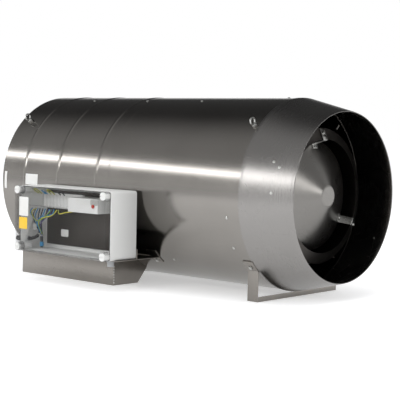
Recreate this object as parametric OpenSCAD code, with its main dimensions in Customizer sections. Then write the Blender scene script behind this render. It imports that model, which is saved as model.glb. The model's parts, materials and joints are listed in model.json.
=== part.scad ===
/* [Casing] */
// Outer radius of the round casing
casing_r = 250; // [230:1:290]
// Length of the casing, from its rear edge to the outlet collar
casing_len = 915; // [880:1:1050]
// Length of the rear casing, up to the joint between the two shells
rear_len = 445; // [435:1:470]
// Thickness of the casing sheet
casing_wall = 1.5; // [1.2:0.1:2]
// Height of the swaged beads round the rear casing
bead_h = 2; // [1:0.5:3]
// Width of a bead along the casing
bead_w = 11; // [8:1:16]
// Clearance between the underside of the casing and the floor
ground_gap = 15; // [10:1:40]
// Width of the hidden band that joins the two shells
band_w = 80; // [60:1:90]

/* [Outlet] */
// Length of the tapered outlet collar in front of the casing
collar_len = 135; // [110:1:180]
// How much smaller the collar's radius is at its rim
collar_drop = 32.5; // [20:0.5:50]
// Length of the collar that laps over the casing
collar_lap = 8; // [5:1:12]
// Thickness of the collar sheet
collar_wall = 1.2; // [1:0.1:2]
// Width of the hemmed rim
hem_w = 4; // [3:1:8]
// Height of the hemmed rim over the sheet
hem_h = 1; // [0.5:0.5:2]

/* [Combustion drum] */
// Radial space for air between the drum and the casing
air_gap = 75; // [60:1:90]
// How far the drum's straight wall reaches past the casing's front edge
drum_reach = 54.5; // [40:0.5:70]
// Thickness of the drum sheet
drum_wall = 1.5; // [1.2:0.1:2.5]
// Radial width of the drum's cone shaped front ring
ring_w = 29; // [20:1:40]
// Depth of the front ring's cone
ring_d = 13.5; // [8:0.5:20]
// Radial gap between the front ring's lip and the deflector dish
dish_gap = 5; // [3:0.5:12]
// How far the dish's rim sits behind the lip
dish_setback = 39; // [30:1:50]
// Depth of the dish's cone
dish_d = 52; // [40:1:60]
// Radius of the flat disc at the dish's centre
disc_r = 28.5; // [20:0.5:40]
// Outer radius of the spacers that carry the drum
spacer_r = 7; // [6:0.5:10]
// Distance from the drum's rear plate to the rear spacers
rear_spacer_in = 119; // [90:1:130]
// Distance from the front spacers to the drum's front edge
front_spacer_in = 103.5; // [90:0.5:120]

/* [Burner] */
// Outer radius of the burner tube
burner_r = 60; // [54:1:70]
// Length of the burner tube behind the drum's rear plate
burner_back = 35; // [30:1:45]
// Length of the burner tube inside the drum
burner_front = 55; // [50:1:80]
// Free length between the pump and the drum's rear plate
burner_space = 73; // [70:1:110]
// Radius of the oil lance
lance_r = 9; // [8:0.5:11]
// Radius of a spark electrode's ceramic
ceramic_r = 5; // [4:0.5:6]
// Sideways distance of a spark electrode from the lance
spark_y = 16; // [16:1:22]
// Height of the spark electrodes above the lance
spark_z = 20; // [18:1:26]

/* [Fan and motor] */
// Radius of the fan
fan_r = 181; // [150:1:184]
// Radius of the fan's hub
hub_r = 48; // [40:1:60]
// Number of fan blades
blade_count = 6; // [4:1:9]
// Blade pitch in degrees, from the plane of the fan
blade_pitch = 35; // [25:1:40]
// Width of a blade
blade_w = 80; // [60:1:90]
// Running clearance between the fan and its shroud
tip_gap = 9; // [5:1:12]
// Distance from the casing's rear edge to the inlet plate
inlet_x = 12; // [12:1:20]
// Length of the fan shroud
shroud_len = 98; // [80:1:110]
// Outer radius of the motor over its fins
motor_r = 68; // [62:1:80]
// Length of the finned motor housing
motor_len = 154; // [140:1:170]
// Number of cooling fins on the motor
fin_count = 24; // [12:2:36]
// Radius of the motor shaft
shaft_r = 7.5; // [6:0.5:8]

/* [Fuel system] */
// Side of the square oil pump body
pump_side = 56; // [50:1:64]
// Length of the oil pump body
pump_len = 54; // [48:1:60]
// Outer radius of the oil pipes
pipe_r = 4; // [3:0.5:5]
// Radius of the oil inlet stub
inlet_stub_r = 5; // [4:0.5:6]
// Free length of the oil inlet stub
inlet_stub_len = 25; // [20:1:40]

/* [Lower housing] */
// Distance from the casing's rear edge to the lower housing
housing_x = 82; // [60:1:100]
// Length of the lower housing
housing_len = 381; // [360:1:420]
// Gap between the lower housing's top and the shelf under the box
housing_gap = 17; // [14:1:22]
// How far the housing's near face sits inside the casing's side
housing_in = 11; // [5:1:20]
// Width of the housing's flat underside
housing_w = 94.5; // [90:0.5:100]
// Thickness of the housing sheet
housing_wall = 1.5; // [1:0.5:2]

/* [Front foot] */
// Distance from the front foot to the casing's front edge
foot_in = 5; // [5:1:20]
// Width of the foot's strap
foot_w = 33; // [28:1:40]
// Thickness of the foot's strap
foot_t = 2.5; // [2:0.5:3.5]
// Angle from the top of the casing at which the legs meet it
foot_angle = 138; // [134:1:142]
// Height of the upturned front flange on the foot's bar
foot_flange = 13; // [8:1:13]

/* [Control box] */
// Distance from the casing's rear edge to the control box
box_x = 208; // [200:1:230]
// Width of the control box
box_w = 361; // [340:1:380]
// Height of the control box
box_h = 180; // [170:1:182]
// Depth of the control box body
box_d = 94; // [90:1:110]
// Depth of the clear lid
lid_d = 20; // [16:1:26]
// Wall thickness of the control box
box_wall = 3; // [2.5:0.5:4]
// Gap between the casing and the back of the box
box_gap = 10; // [8:1:20]
// How far the top of the box lies below the casing's axis
box_drop = 1; // [0:1:10]
// Radius of a lid screw's head
lid_screw_r = 10.5; // [9:0.5:11]
// Distance from a lid screw to the box's left or right edge
screw_in_x = 10; // [10:0.5:12]
// Distance from a lid screw to the box's top or bottom edge
screw_in_z = 11.5; // [11:0.5:13]
// Width of one terminal
terminal_w = 6; // [5:0.5:8]
// Number of terminals
terminal_count = 27; // [12:1:27]
// Width of the burner controller
controller_w = 116; // [90:1:124]
// Travel of the reset button
button_travel = 2; // [1:0.5:2.5]

/* [Suspension eyes] */
// Angle of the eye bolts from the top of the casing
eye_angle = 45; // [35:1:50]
// Radius of the eye at the middle of its wire
eye_r = 8.5; // [7:0.5:12]
// Radius of the eye's wire
eye_wire = 2.25; // [2:0.25:3]
// Distance from the casing's rear edge to the rear eye bolts
eye_rear = 37.5; // [30:0.5:45]
// Distance from the casing's front edge to the front eye bolts
eye_front = 20; // [18:1:40]

/* [Hidden] */
$fn = 96;
// Clearance between pieces that are fixed to each other
fit_gap = 0.15;
// Running clearance between a shaft and its bore
run_gap = 0.05;
// Overrun of a cut past the surface that it opens
overrun = 1;
// Sides of a swept bar, and a direction that no swept bar runs along
bar_sides = 12;
sweep_side = [1, 1.3, 1.7];

axis_h = casing_r + ground_gap;
rim_x = casing_len + collar_len;
rim_r = casing_r - collar_drop;
bead_shares = [0.218, 0.54, 0.892];
inner_r = casing_r - casing_wall;

gasket_t = 1;
label_t = 0.4;

// Middle of the whole heater, which the origin stands under
front_y = -(casing_r + box_gap + box_d + gasket_t + lid_d + label_t);
back_y = casing_r + bead_h;
mid_x = rim_x / 2;
mid_y = (front_y + back_y) / 2;

// Drum and dish
drum_r = casing_r - air_gap;
drum_x1 = casing_len + drum_reach;
lip_r = drum_r - ring_w;
lip_x = drum_x1 + ring_d;
spigot_len = 14;
dish_r = lip_r - dish_gap;
dish_x = lip_x - dish_setback;
dish_t = 1.5;
ring_tilt = atan2(ring_w, ring_d);
dish_tilt = atan2(dish_r - disc_r, dish_d);
bracket_t = 2;
bracket_w = 20;
bracket_angles = [1, 121, 241];
bracket_shares = [0.83, 0.14];
bracket_foot = 13;
bolt_share = 0.62;
bolt_r = 2.5;
bolt_head_r = 5;
bolt_head_h = 3.5;

// Sheet screws: radius, head and length, and the angles of the two rows of spacers
screw_r = 2;
screw_head_r = 4;
screw_head_h = 2.2;
screw_len = 8;
rear_angles = [17, 137, 257];
band_angles = [17, 127, 257];
front_angles = bracket_angles;
sensor_angle = 102;
can_r = 12;
can_h = 13.5;
arm_x = 202;
band_screw_x = rear_len - 26;

// Inlet, fan and shaft, from the rear edge forwards
plate_t = 1.5;
shroud_r = fan_r + tip_gap;
guard_wire = 3;
guard_rings = 11;
guard_disc_r = 30;
guard_spokes = 6;
guard_screw_in = 6;
hub_x = 45;
hub_len = 60;
blade_t = 2;
fan_mid_x = hub_x + hub_len / 2;
shaft_x = 38;
cap_t = 18;
motor_gap = 23;
cap_x = hub_x + hub_len + motor_gap;
motor_x = cap_x + cap_t;
front_cap_x = motor_x + motor_len;
fin_h = 6;
fin_w = 2;
motor_bore = motor_r - 2 * fin_h;
cap_in = 2;
cap_clear = 1;
cap_r = motor_r - cap_in;
bearing_t = 10;
bearing_r = shaft_r + bearing_t;
bearing_w = 11;
stator_in = 24;
rotor_air = 1;
rotor_r = 41;
rotor_over = 2;
clamp_t = 2;
clamp_w = 40;
arm_t = 3;
arm_in = 2;
arm_foot_w = 24;

// Pump and coupling
adapter_x = front_cap_x + cap_t;
adapter_len = 60;
adapter_r = 38;
adapter_t = 4;
window_share = 0.55;
pump_x = adapter_x + adapter_len;
pump_z = axis_h + pump_side / 2;
pump_cover_t = 10;
pump_port_x = pump_x + (pump_len - pump_cover_t) / 2;
coupling_r = 15;
coupling_len = 36;
coupling_in = 20;
coupling_gap = 2;
coupling_x = adapter_x + coupling_in;
shaft_end = coupling_x + coupling_len / 2 - coupling_gap;
pump_shaft_r = 4;
pump_shaft_in = 10;
pipe_bend = 14;
pipe_in = 3;
stub_in = 30;
stub_seat = 6;
stub_nut = [10, 7];
valve_side = 30;
valve_h = 22;
coil_r = 15;
coil_h = 32;
drum_x0 = pump_x + pump_len + burner_space;

// Burner
burner_x0 = drum_x0 - burner_back;
burner_x1 = drum_x0 + burner_front;
burner_wall = 2;
disc_t = 2;
spider_in = 6;
swirl_in = 10;
lance_over = 8;
nozzle_in = 20;
ceramic_in = 2;
ceramic_end = 4;
spider_x = burner_x0 + spider_in;
swirl_x = burner_x1 - swirl_in;
lance_x = burner_x0 - lance_over;
nozzle_x = burner_x1 - nozzle_in;
nozzle_len = 16;
nozzle_r = 7;
nozzle_tip_r = 4;
swirl_hole_r = 13;
slot_count = 8;
slot_w = 4;
slot_in = 33;
sensor_r = 6;
sensor_z = 30;
sensor_len = 40;
spark_len = 22;
spark_wire_r = 1.2;

// Lower housing, foot and bracket
shelf_t = 2;
shelf_z = axis_h - box_drop - box_h;
housing_h = shelf_z - shelf_t - housing_gap;
housing_y = -(casing_r - housing_in);
housing_back = housing_y + housing_w;
slope_dy = 34.5;
slope_share = 0.623;
slope_dz = housing_h * slope_share;
slope_t = housing_wall * norm([slope_dy, slope_dz]) / slope_dz;
service_in = 10;
service_y = housing_back + service_in;
service_share = 0.5385;
service_z = housing_h * service_share;
lead_x = pump_x + pump_len + service_in / 2 + overrun;
lead_in = 30;
lead_bend = 40;
lead_spread = 5;
lead_gap = 2.4;
transformer_share = 0.846;
transformer = [150, 66, housing_h * transformer_share];
transformer_at = [38, 12];
foot_x = casing_len - foot_in - foot_w;
leg_y = casing_r * sin(180 - foot_angle);
tab_arc = 8;
tab_bolt_up = 3;
tab_end = 1;
mount_bolt_angle = foot_angle - tab_bolt_up;
shelf_over = 4;
bracket_tab_w = 34;
bracket_lip = 26;
bracket_angle = 90 + asin((axis_h - shelf_z) / casing_r);
bracket_tab_up = 6;
bracket_tab_down = 5;
tab_bolt_down = 3;

// Control box
box_y = -(casing_r + box_gap);
box_top = axis_h - box_drop;
gasket_w = 2;
corner_r = 8;
post_r = 9;
post_len = 30;
lid_shank_r = 3;
screw_play = 0.3;
seat_gap = 0.2;
pocket_wall = 2;
screw_low = 1;
head_h = lid_d - 2 * screw_low;
pocket_gap = 0.8;
panel_in = 19;
panel_h = 1.5;
panel_t = 3;
slot_head_w = 2;
slot_head_d = 3;
plate_gap = 3;
mount_plate_t = 2;
mount_plate_in = 14;
stud_at = [20, 34];
stud_r = 5;
rail_h = 35;
rail_t = 7.5;
rail_lip = 5;
rail_sheet = 1;
terminal_in = 12;
terminal_top = 24;
terminal_h = 42;
terminal_low_h = 17;
terminal_d = 62;
terminal_step = 10;
controller_gap = 4;
controller_top = 25;
controller_h = 38;
rib_gap = 0.4;
button_r = 5;
button_h = 4;
button_in = 18;
gland_hex_r = 11;
gland_nut_h = 5;
gland_r = 9;
gland_len = 16;
gland_step = 2;
cable_r = 5;
gland_drop = 150;
gland_fwd = 65;
power_gland_in = 31;
power_gland_x = box_w - power_gland_in;
power_gland_y = 62;
entry_in = 17;
cable_out = 56;
cable_bend = 16;
cable_sag = 7;

// Blank labels
side_label_x = [104, 157];
side_label_angles = [84.5, 91.5];
edge_label_x = [9, 19];
edge_label_angles = [83.7, 95.2];
lid_label = [38, 52];
lid_label_in = 2;
lid_label_up = 98;
lid_patch = [34, 32];
lid_patch_up = 62;

// Eye bolts
eye_stem_r = 3;
eye_nut_r = 8;
eye_nut_h = 5;
eye_stem_in = 10;
eye_lift = eye_nut_h + eye_r + eye_wire;

// Puts a piece in the heater's frame, with the origin under the middle
module in_frame() translate([-mid_x, -mid_y, 0]) children();

// Turns a shape's own axis onto the casing's axis, at a distance from the rear edge
module about_axis(x = 0) translate([x, 0, axis_h]) rotate([0, 90, 0]) children();

// Places a shape at a radius, pointing outwards, at an angle from the top towards the box
module around(x, angle, r) translate([x, 0, axis_h]) rotate([angle, 0, 0]) translate([0, 0, r]) children();

// Extrudes an outline drawn across the heater, in Y and Z, from x0 to x1
module across(x0, x1) translate([x0, 0, 0]) rotate([90, 0, 90]) linear_extrude(x1 - x0) children();

// A round tube about the casing's axis
module tube(x0, x1, r, wall) {
    about_axis(x0) difference() {
        cylinder(r = r, h = x1 - x0);
        translate([0, 0, -overrun]) cylinder(r = r - wall, h = x1 - x0 + 2 * overrun);
    }
}

// A flat strip of even thickness that follows points
module strip(points, t) {
    for (i = [0 : len(points) - 2]) {
        run = points[i + 1] - points[i];
        translate(points[i]) rotate(atan2(run[1], run[0])) translate([0, -t / 2]) square([norm(run), t]);
    }
    for (i = [1 : 1 : len(points) - 2]) translate(points[i]) circle(d = t, $fn = 24);
}

// A round bar swept along points, from a ring of bar_sides corners at each point
function unit(v) = v / norm(v);
function run_at(points, i) = unit(points[i + 1] - points[i]);
function heading(points, i) = i == 0 ? run_at(points, 0)
    : i == len(points) - 1 ? run_at(points, i - 1)
    : unit(run_at(points, i - 1) + run_at(points, i));
function ring_at(p, t, r) = let (a = unit(cross(t, sweep_side)), b = cross(t, a))
    [for (k = [0 : bar_sides - 1]) p + r * (cos(360 * k / bar_sides) * a + sin(360 * k / bar_sides) * b)];

module bar(points, r) {
    n = bar_sides;
    last = len(points) - 1;
    polyhedron(
        points = [for (i = [0 : last], p = ring_at(points[i], heading(points, i), r)) p],
        faces = concat(
            [[for (k = [0 : n - 1]) k]],
            [[for (k = [n - 1 : -1 : 0]) last * n + k]],
            [for (i = [0 : last - 1], k = [0 : n - 1], half = [0, 1]) let (j = (k + 1) % n)
                half == 0 ? [i * n + k, (i + 1) * n + k, (i + 1) * n + j]
                    : [i * n + k, (i + 1) * n + j, i * n + j]]
        )
    );
}

// Room that a piece on the casing leaves for the beads
module bead_room() {
    for (s = bead_shares) about_axis(s * rear_len - bead_w / 2 - fit_gap)
        cylinder(r = casing_r + bead_h + fit_gap, h = bead_w + 2 * fit_gap, $fn = 180);
}

// Every screw in the casing, as [distance from the rear, angle]
casing_screw_at = concat(
    [for (a = rear_angles) [arm_x, a]],
    [for (a = band_angles) [band_screw_x, a]],
    [for (a = rear_angles) [drum_x0 + rear_spacer_in, a]],
    [for (a = front_angles) [drum_x1 - front_spacer_in, a]],
    [[drum_x1 - front_spacer_in, sensor_angle]]
);
eye_at = [for (x = [eye_rear, casing_len - eye_front], a = [-eye_angle, eye_angle]) [x, a]];
foot_bolt_at = [for (side = [-1, 1]) [foot_x + foot_w / 2, side * mount_bolt_angle]];
tab_xs = [box_x + bracket_tab_w / 2, box_x + box_w + shelf_over - bracket_tab_w / 2];
tab_bolt_at = [for (x = tab_xs) [x, bracket_angle + tab_bolt_down]];

// Holes in the casing for screws, eye bolts and mounting bolts, and for pipe and leads
module casing_holes() {
    for (p = casing_screw_at) around(p[0], p[1], casing_r - screw_len)
        cylinder(r = screw_r + fit_gap, h = 2 * screw_len, $fn = 24);
    for (p = eye_at) around(p[0], p[1], casing_r - eye_stem_in)
        cylinder(r = eye_stem_r + fit_gap, h = 2 * eye_stem_in, $fn = 24);
    for (p = concat(foot_bolt_at, tab_bolt_at)) around(p[0], p[1], casing_r - screw_len)
        cylinder(r = bolt_r + fit_gap, h = 2 * screw_len, $fn = 24);
    for (x = [pump_port_x, lead_x]) translate([x, service_y, service_z])
        cylinder(r = pipe_r + overrun, h = axis_h / 2, $fn = 24);
}

// One side of a casing shell's profile, with the swage of each bead
function shell_side(x0, x1, beads, r) = concat(
    [[r, x0]],
    [for (b = beads, p = [[0, -1], [bead_h, -0.5], [bead_h, 0.5], [0, 1]]) [r + p[0], b + p[1] * bead_w / 2]],
    [[r, x1]]
);
function backwards(v) = [for (i = [len(v) - 1 : -1 : 0]) v[i]];

module casing_shell(x0, x1, beads) {
    difference() {
        about_axis() rotate_extrude($fn = 180) polygon(concat(
            shell_side(x0, x1, beads, casing_r),
            backwards(shell_side(x0, x1, beads, inner_r))
        ));
        casing_holes();
    }
}

module rear_casing() color("#6b6661") casing_shell(0, rear_len, [for (s = bead_shares) s * rear_len]);

module front_casing() color("#6b6661") casing_shell(rear_len, casing_len, []);

module joint_band() {
    color("silver") difference() {
        tube(rear_len - band_w / 2, rear_len + band_w / 2, inner_r - fit_gap, casing_wall);
        casing_holes();
    }
}

module screw(r, head_r, head_h, length) {
    cylinder(r = head_r, h = head_h, $fn = 32);
    translate([0, 0, -length]) cylinder(r = r, h = length + head_h / 2, $fn = 24);
}

module sheet_screws() {
    color("gainsboro") {
        for (p = casing_screw_at) around(p[0], p[1], casing_r + fit_gap / 2)
            screw(screw_r, screw_head_r, screw_head_h, screw_len);
        for (i = [0 : guard_spokes - 1]) guard_screw_place(i)
            screw(screw_r, screw_head_r, screw_head_h, screw_len);
    }
}

// Places of the screws that hold the guard's spokes to the inlet plate
module guard_screw_place(i) {
    about_axis(inlet_x - guard_wire) rotate(360 * i / guard_spokes)
        translate([shroud_r + (inner_r - shroud_r) / 2, 0, 0]) rotate([180, 0, 0]) children();
}

module inlet_ring() {
    r = inner_r - fit_gap;
    x1 = inlet_x + plate_t;
    color("silver") difference() {
        about_axis() rotate_extrude($fn = 120) polygon([
            [r, 0], [r, x1], [shroud_r + plate_t, x1], [shroud_r + plate_t, inlet_x + shroud_len],
            [shroud_r, inlet_x + shroud_len], [shroud_r, inlet_x], [r - plate_t, inlet_x], [r - plate_t, 0]
        ]);
        for (i = [0 : guard_spokes - 1]) guard_screw_place(i)
            translate([0, 0, -screw_len]) cylinder(r = screw_r + fit_gap, h = 2 * screw_len, $fn = 24);
        for (p = eye_at) around(p[0], p[1], casing_r - eye_stem_in) cylinder(r = eye_stem_r + fit_gap,
            h = 2 * eye_stem_in, $fn = 24);
    }
}

module rear_guard() {
    spoke_r = shroud_r + (inner_r - shroud_r) / 2 + guard_screw_in;
    pitch = (shroud_r - guard_disc_r) / guard_rings;
    color("dimgray") difference() {
        union() {
            about_axis(inlet_x - 2 * guard_wire) linear_extrude(guard_wire) {
                circle(r = guard_disc_r);
                for (i = [1 : guard_rings]) difference() {
                    circle(r = guard_disc_r + i * pitch);
                    circle(r = guard_disc_r + i * pitch - guard_wire);
                }
            }
            about_axis(inlet_x - guard_wire) linear_extrude(guard_wire)
                for (i = [0 : guard_spokes - 1]) rotate(360 * i / guard_spokes)
                    translate([0, -guard_wire]) square([spoke_r, 2 * guard_wire]);
        }
        for (i = [0 : guard_spokes - 1]) guard_screw_place(i)
            translate([0, 0, -screw_len]) cylinder(r = screw_r + fit_gap, h = 2 * screw_len, $fn = 24);
    }
}

module fan() {
    color("#3a3a3c") difference() {
        union() {
            about_axis(hub_x) cylinder(r = hub_r, h = hub_len);
            intersection() {
                about_axis(hub_x) cylinder(r = fan_r, h = hub_len);
                for (i = [0 : blade_count - 1]) around(fan_mid_x, 360 * i / blade_count, hub_r - blade_t)
                    rotate(90 - blade_pitch) translate([-blade_w / 2, -blade_t / 2, 0])
                        cube([blade_w, blade_t, fan_r]);
            }
        }
        about_axis(hub_x - overrun) cylinder(r = shaft_r + run_gap / 2, h = hub_len + 2 * overrun);
    }
}

module motor_shaft() {
    color("silver") {
        about_axis(shaft_x) cylinder(r = shaft_r, h = shaft_end - shaft_x);
    }
}

module motor_rotor() {
    color("slategray") difference() {
        about_axis(motor_x + stator_in - rotor_over)
            cylinder(r = rotor_r, h = motor_len - 2 * (stator_in - rotor_over));
        about_axis(motor_x) cylinder(r = shaft_r + run_gap / 2, h = motor_len);
    }
}

module motor_stator() {
    color("#8a4b2a")
        tube(motor_x + stator_in, front_cap_x - stator_in, motor_bore - fit_gap, motor_bore - fit_gap - rotor_r - rotor_air);
}

module motor_housing() {
    color("#4d5a66") about_axis(motor_x) linear_extrude(motor_len) difference() {
        union() {
            circle(r = motor_r - fin_h);
            for (i = [0 : fin_count - 1]) rotate(360 * i / fin_count)
                translate([motor_bore + overrun, -fin_w / 2]) square([motor_r - motor_bore - overrun, fin_w]);
        }
        circle(r = motor_bore);
    }
}

module motor_cap(x, seat_x) {
    difference() {
        about_axis(x) cylinder(r = cap_r, h = cap_t);
        about_axis(x - overrun) cylinder(r = shaft_r + cap_clear, h = cap_t + 2 * overrun);
        about_axis(seat_x) cylinder(r = bearing_r + run_gap / 2, h = bearing_w + overrun);
    }
}

module motor_caps() {
    color("#4d5a66") {
        motor_cap(cap_x, cap_x + cap_t - bearing_w);
        motor_cap(front_cap_x, front_cap_x - overrun);
    }
}

module motor_bearings() {
    color("silver") {
        tube(cap_x + cap_t - bearing_w, cap_x + cap_t, bearing_r, bearing_r - shaft_r - run_gap);
        tube(front_cap_x, front_cap_x + bearing_w, bearing_r, bearing_r - shaft_r - run_gap);
    }
}

module motor_bracket() {
    foot_r = sqrt(pow(inner_r - fit_gap, 2) - pow(arm_foot_w / 2, 2));
    color("darkgray") difference() {
        union() {
            tube(arm_x - clamp_w / 2, arm_x + clamp_w / 2, motor_r + fit_gap + clamp_t, clamp_t);
            for (a = rear_angles) {
                around(arm_x, a, motor_r + clamp_t / 2 + fit_gap) translate([arm_in - clamp_w / 2, -arm_t / 2, 0])
                    cube([clamp_w - 2 * arm_in, arm_t, foot_r - motor_r - clamp_t]);
                around(arm_x, a, foot_r - clamp_t) translate([-clamp_w / 2, -arm_foot_w / 2, 0])
                    cube([clamp_w, arm_foot_w, clamp_t]);
            }
        }
        casing_holes();
    }
}

module pump_adapter() {
    window_len = adapter_len * window_share;
    color("darkgray") difference() {
        tube(adapter_x, pump_x, adapter_r, adapter_t);
        around(adapter_x + adapter_len / 2, 90, 0) translate([-window_len / 2, -adapter_r / 2, -2 * adapter_r])
            cube([window_len, adapter_r, 4 * adapter_r]);
    }
}

module pump_coupling() {
    color("#25364a") union() {
        difference() {
            about_axis(coupling_x) cylinder(r = coupling_r, h = coupling_len);
            about_axis(coupling_x - overrun) cylinder(r = shaft_r + run_gap / 2, h = coupling_len / 2 + overrun);
        }
        about_axis(coupling_x + coupling_len / 2 + coupling_gap)
            cylinder(r = pump_shaft_r, h = pump_x + pump_shaft_in - coupling_x - coupling_len / 2 - coupling_gap);
    }
}

module oil_pump() {
    color("#8c8f93") difference() {
        union() {
            translate([pump_x, -pump_side / 2, axis_h - pump_side / 2])
                cube([pump_len - pump_cover_t, pump_side, pump_side]);
            about_axis(pump_x + pump_len - pump_cover_t) cylinder(r = pump_side / 2, h = pump_cover_t);
        }
        about_axis(pump_x - overrun) cylinder(r = pump_shaft_r + run_gap, h = pump_shaft_in + 2 * overrun);
        translate([pump_port_x, 0, axis_h - pump_side / 2 - overrun])
            cylinder(r = pipe_r + fit_gap, h = pipe_in + 2 * overrun, $fn = 24);
    }
}

module solenoid_valve() {
    x = pump_port_x;
    color("#2b2b2d") difference() {
        union() {
            translate([x - valve_side / 2, -valve_side / 2, pump_z]) cube([valve_side, valve_side, valve_h]);
            translate([x, 0, pump_z + valve_h]) cylinder(r = coil_r, h = coil_h);
        }
        translate([x + valve_side / 2 - pipe_in, 0, pump_z + valve_h / 2]) rotate([0, 90, 0])
            cylinder(r = pipe_r + fit_gap, h = pipe_in + overrun, $fn = 24);
    }
}

// The route of the suction pipe and of the pressure pipe
suction_route = [
    [housing_x + stub_seat, housing_y + stub_in, service_z],
    [housing_x + stub_seat + pipe_bend, housing_y + stub_in, service_z],
    [housing_x + stub_seat + 2 * pipe_bend, service_y, service_z], [pump_port_x, service_y, service_z],
    [pump_port_x, service_y, axis_h / 2], [pump_port_x, 0, axis_h - pump_side],
    [pump_port_x, 0, axis_h - pump_side / 2 + pipe_in]
];
pressure_route = [
    [pump_port_x + valve_side / 2 - pipe_in + overrun, 0, pump_z + valve_h / 2],
    [lance_x - pipe_bend, 0, pump_z + valve_h / 2], [lance_x - pipe_bend, 0, axis_h], [lance_x, 0, axis_h]
];

module oil_pipes() color("#b87347") {
    bar(suction_route, pipe_r);
    bar(pressure_route, pipe_r);
}

module oil_inlet() {
    color("#b5934a") translate([0, housing_y + stub_in, service_z]) {
        translate([housing_x - inlet_stub_len, 0, 0]) rotate([0, 90, 0])
            cylinder(r = inlet_stub_r, h = inlet_stub_len + stub_seat);
        translate([housing_x - stub_nut[1], 0, 0]) rotate([0, 90, 0])
            cylinder(r = stub_nut[0], h = stub_nut[1], $fn = 6);
    }
}

module burner_tube() color("#77716a") tube(burner_x0, burner_x1, burner_r, burner_wall);

// Places of the two spark electrodes
module spark_places(x) for (side = [-1, 1]) translate([x, side * spark_y, axis_h + spark_z]) rotate([0, 90, 0]) children();

module burner_disc(x, hole_r) {
    difference() {
        about_axis(x) cylinder(r = burner_r - burner_wall - fit_gap, h = disc_t);
        about_axis(x - overrun) cylinder(r = hole_r, h = disc_t + 2 * overrun);
        spark_places(x - overrun) cylinder(r = ceramic_r + fit_gap, h = disc_t + 2 * overrun, $fn = 32);
        children();
    }
}

module burner_spider() {
    color("#77716a") burner_disc(spider_x, lance_r + fit_gap) {
        translate([spider_x - overrun, 0, axis_h - sensor_z]) rotate([0, 90, 0])
            cylinder(r = sensor_r + fit_gap, h = disc_t + 2 * overrun, $fn = 32);
        for (side = [-1, 1]) translate([spider_x - overrun, side * burner_r * 0.62, axis_h]) rotate([0, 90, 0])
            cylinder(r = burner_r / 5, h = disc_t + 2 * overrun, $fn = 32);
    }
}

module swirl_plate() {
    color("#77716a") burner_disc(swirl_x, swirl_hole_r) {
        for (i = [0 : slot_count - 1]) around(swirl_x + disc_t / 2, 360 * (i + 0.5) / slot_count, slot_in)
            translate([-2 * disc_t, -slot_w / 2, 0]) cube([4 * disc_t, slot_w, burner_r / 4]);
    }
}

module oil_lance() color("#b5934a") about_axis(lance_x) difference() {
    cylinder(r = lance_r, h = nozzle_x - lance_x);
    translate([0, 0, -overrun]) cylinder(r = pipe_r - overrun, h = pipe_in + overrun, $fn = 24);
}

module oil_nozzle() {
    color("goldenrod") about_axis(nozzle_x) {
        cylinder(r = nozzle_r, h = nozzle_len / 2, $fn = 6);
        translate([0, 0, nozzle_len / 2]) cylinder(r1 = nozzle_r - 1, r2 = nozzle_tip_r, h = nozzle_len / 2);
    }
}

module spark_electrodes() {
    color("ivory") spark_places(burner_x0 + ceramic_in)
        cylinder(r = ceramic_r, h = burner_x1 - burner_x0 - ceramic_in - ceramic_end, $fn = 32);
    color("dimgray") for (side = [-1, 1]) bar([
        [burner_x1 - ceramic_end, side * spark_y, axis_h + spark_z],
        [burner_x1 + spark_len / 2, side * spark_y, axis_h + spark_z],
        [burner_x1 + spark_len / 2, side * spark_wire_r * 2, axis_h + nozzle_r]
    ], spark_wire_r);
}

module flame_sensor() {
    color("#2b2b2d") translate([spider_x - sensor_len / 2, 0, axis_h - sensor_z]) rotate([0, 90, 0])
        cylinder(r = sensor_r, h = sensor_len, $fn = 32);
}

module ignition_leads() {
    color("firebrick") for (side = [-1, 1]) bar([
        [housing_x + transformer_at[0] + transformer[0], service_y - lead_in + side * lead_spread, service_z],
        [lead_x - lead_bend, service_y - lead_in + side * lead_spread, service_z],
        [lead_x - side * lead_gap, service_y, service_z + lead_spread],
        [lead_x - side * lead_gap, service_y, axis_h / 2],
        [lead_x - side * lead_gap, side * spark_y, axis_h + spark_z],
        [burner_x0 + ceramic_in, side * spark_y, axis_h + spark_z]
    ], pipe_r / 2);
}

module ignition_transformer() {
    color("#2b2b2d") translate([housing_x + transformer_at[0], housing_y + transformer_at[1], housing_wall])
        cube(transformer);
}

module combustion_drum() {
    hole_r = burner_r + fit_gap;
    color("#5e5852") difference() {
        about_axis() rotate_extrude($fn = 120) polygon([
            [hole_r, drum_x0], [drum_r, drum_x0], [drum_r, drum_x1], [drum_r - drum_wall, drum_x1],
            [drum_r - drum_wall, drum_x0 + drum_wall], [hole_r, drum_x0 + drum_wall]
        ]);
    }
}

module drum_front_ring() {
    spigot_r = drum_r - drum_wall - fit_gap;
    shift = drum_wall * [cos(ring_tilt), sin(ring_tilt)];
    back = [spigot_r - drum_wall, drum_x1 + (drum_wall - fit_gap) / tan(ring_tilt)];
    color("#5e5852") difference() {
        about_axis() rotate_extrude($fn = 120) polygon([
            [drum_r, drum_x1], [lip_r, lip_x], [lip_r, lip_x] - shift, back,
            [spigot_r - drum_wall, drum_x1 - spigot_len], [spigot_r, drum_x1 - spigot_len], [spigot_r, drum_x1]
        ]);
        bracket_bolt_holes();
    }
}

// Radial studs that carry the drum inside the casing
module drum_spacers() {
    in_r = drum_r + spacer_r * spacer_r / drum_r;
    out_r = inner_r - spacer_r * spacer_r / inner_r;
    color("silver") difference() {
        for (a = rear_angles) around(drum_x0 + rear_spacer_in, a, in_r) cylinder(r = spacer_r, h = out_r - in_r, $fn = 32);
        for (a = front_angles) around(drum_x1 - front_spacer_in, a, in_r) cylinder(r = spacer_r, h = out_r - in_r, $fn = 32);
        casing_holes();
    }
}

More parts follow.
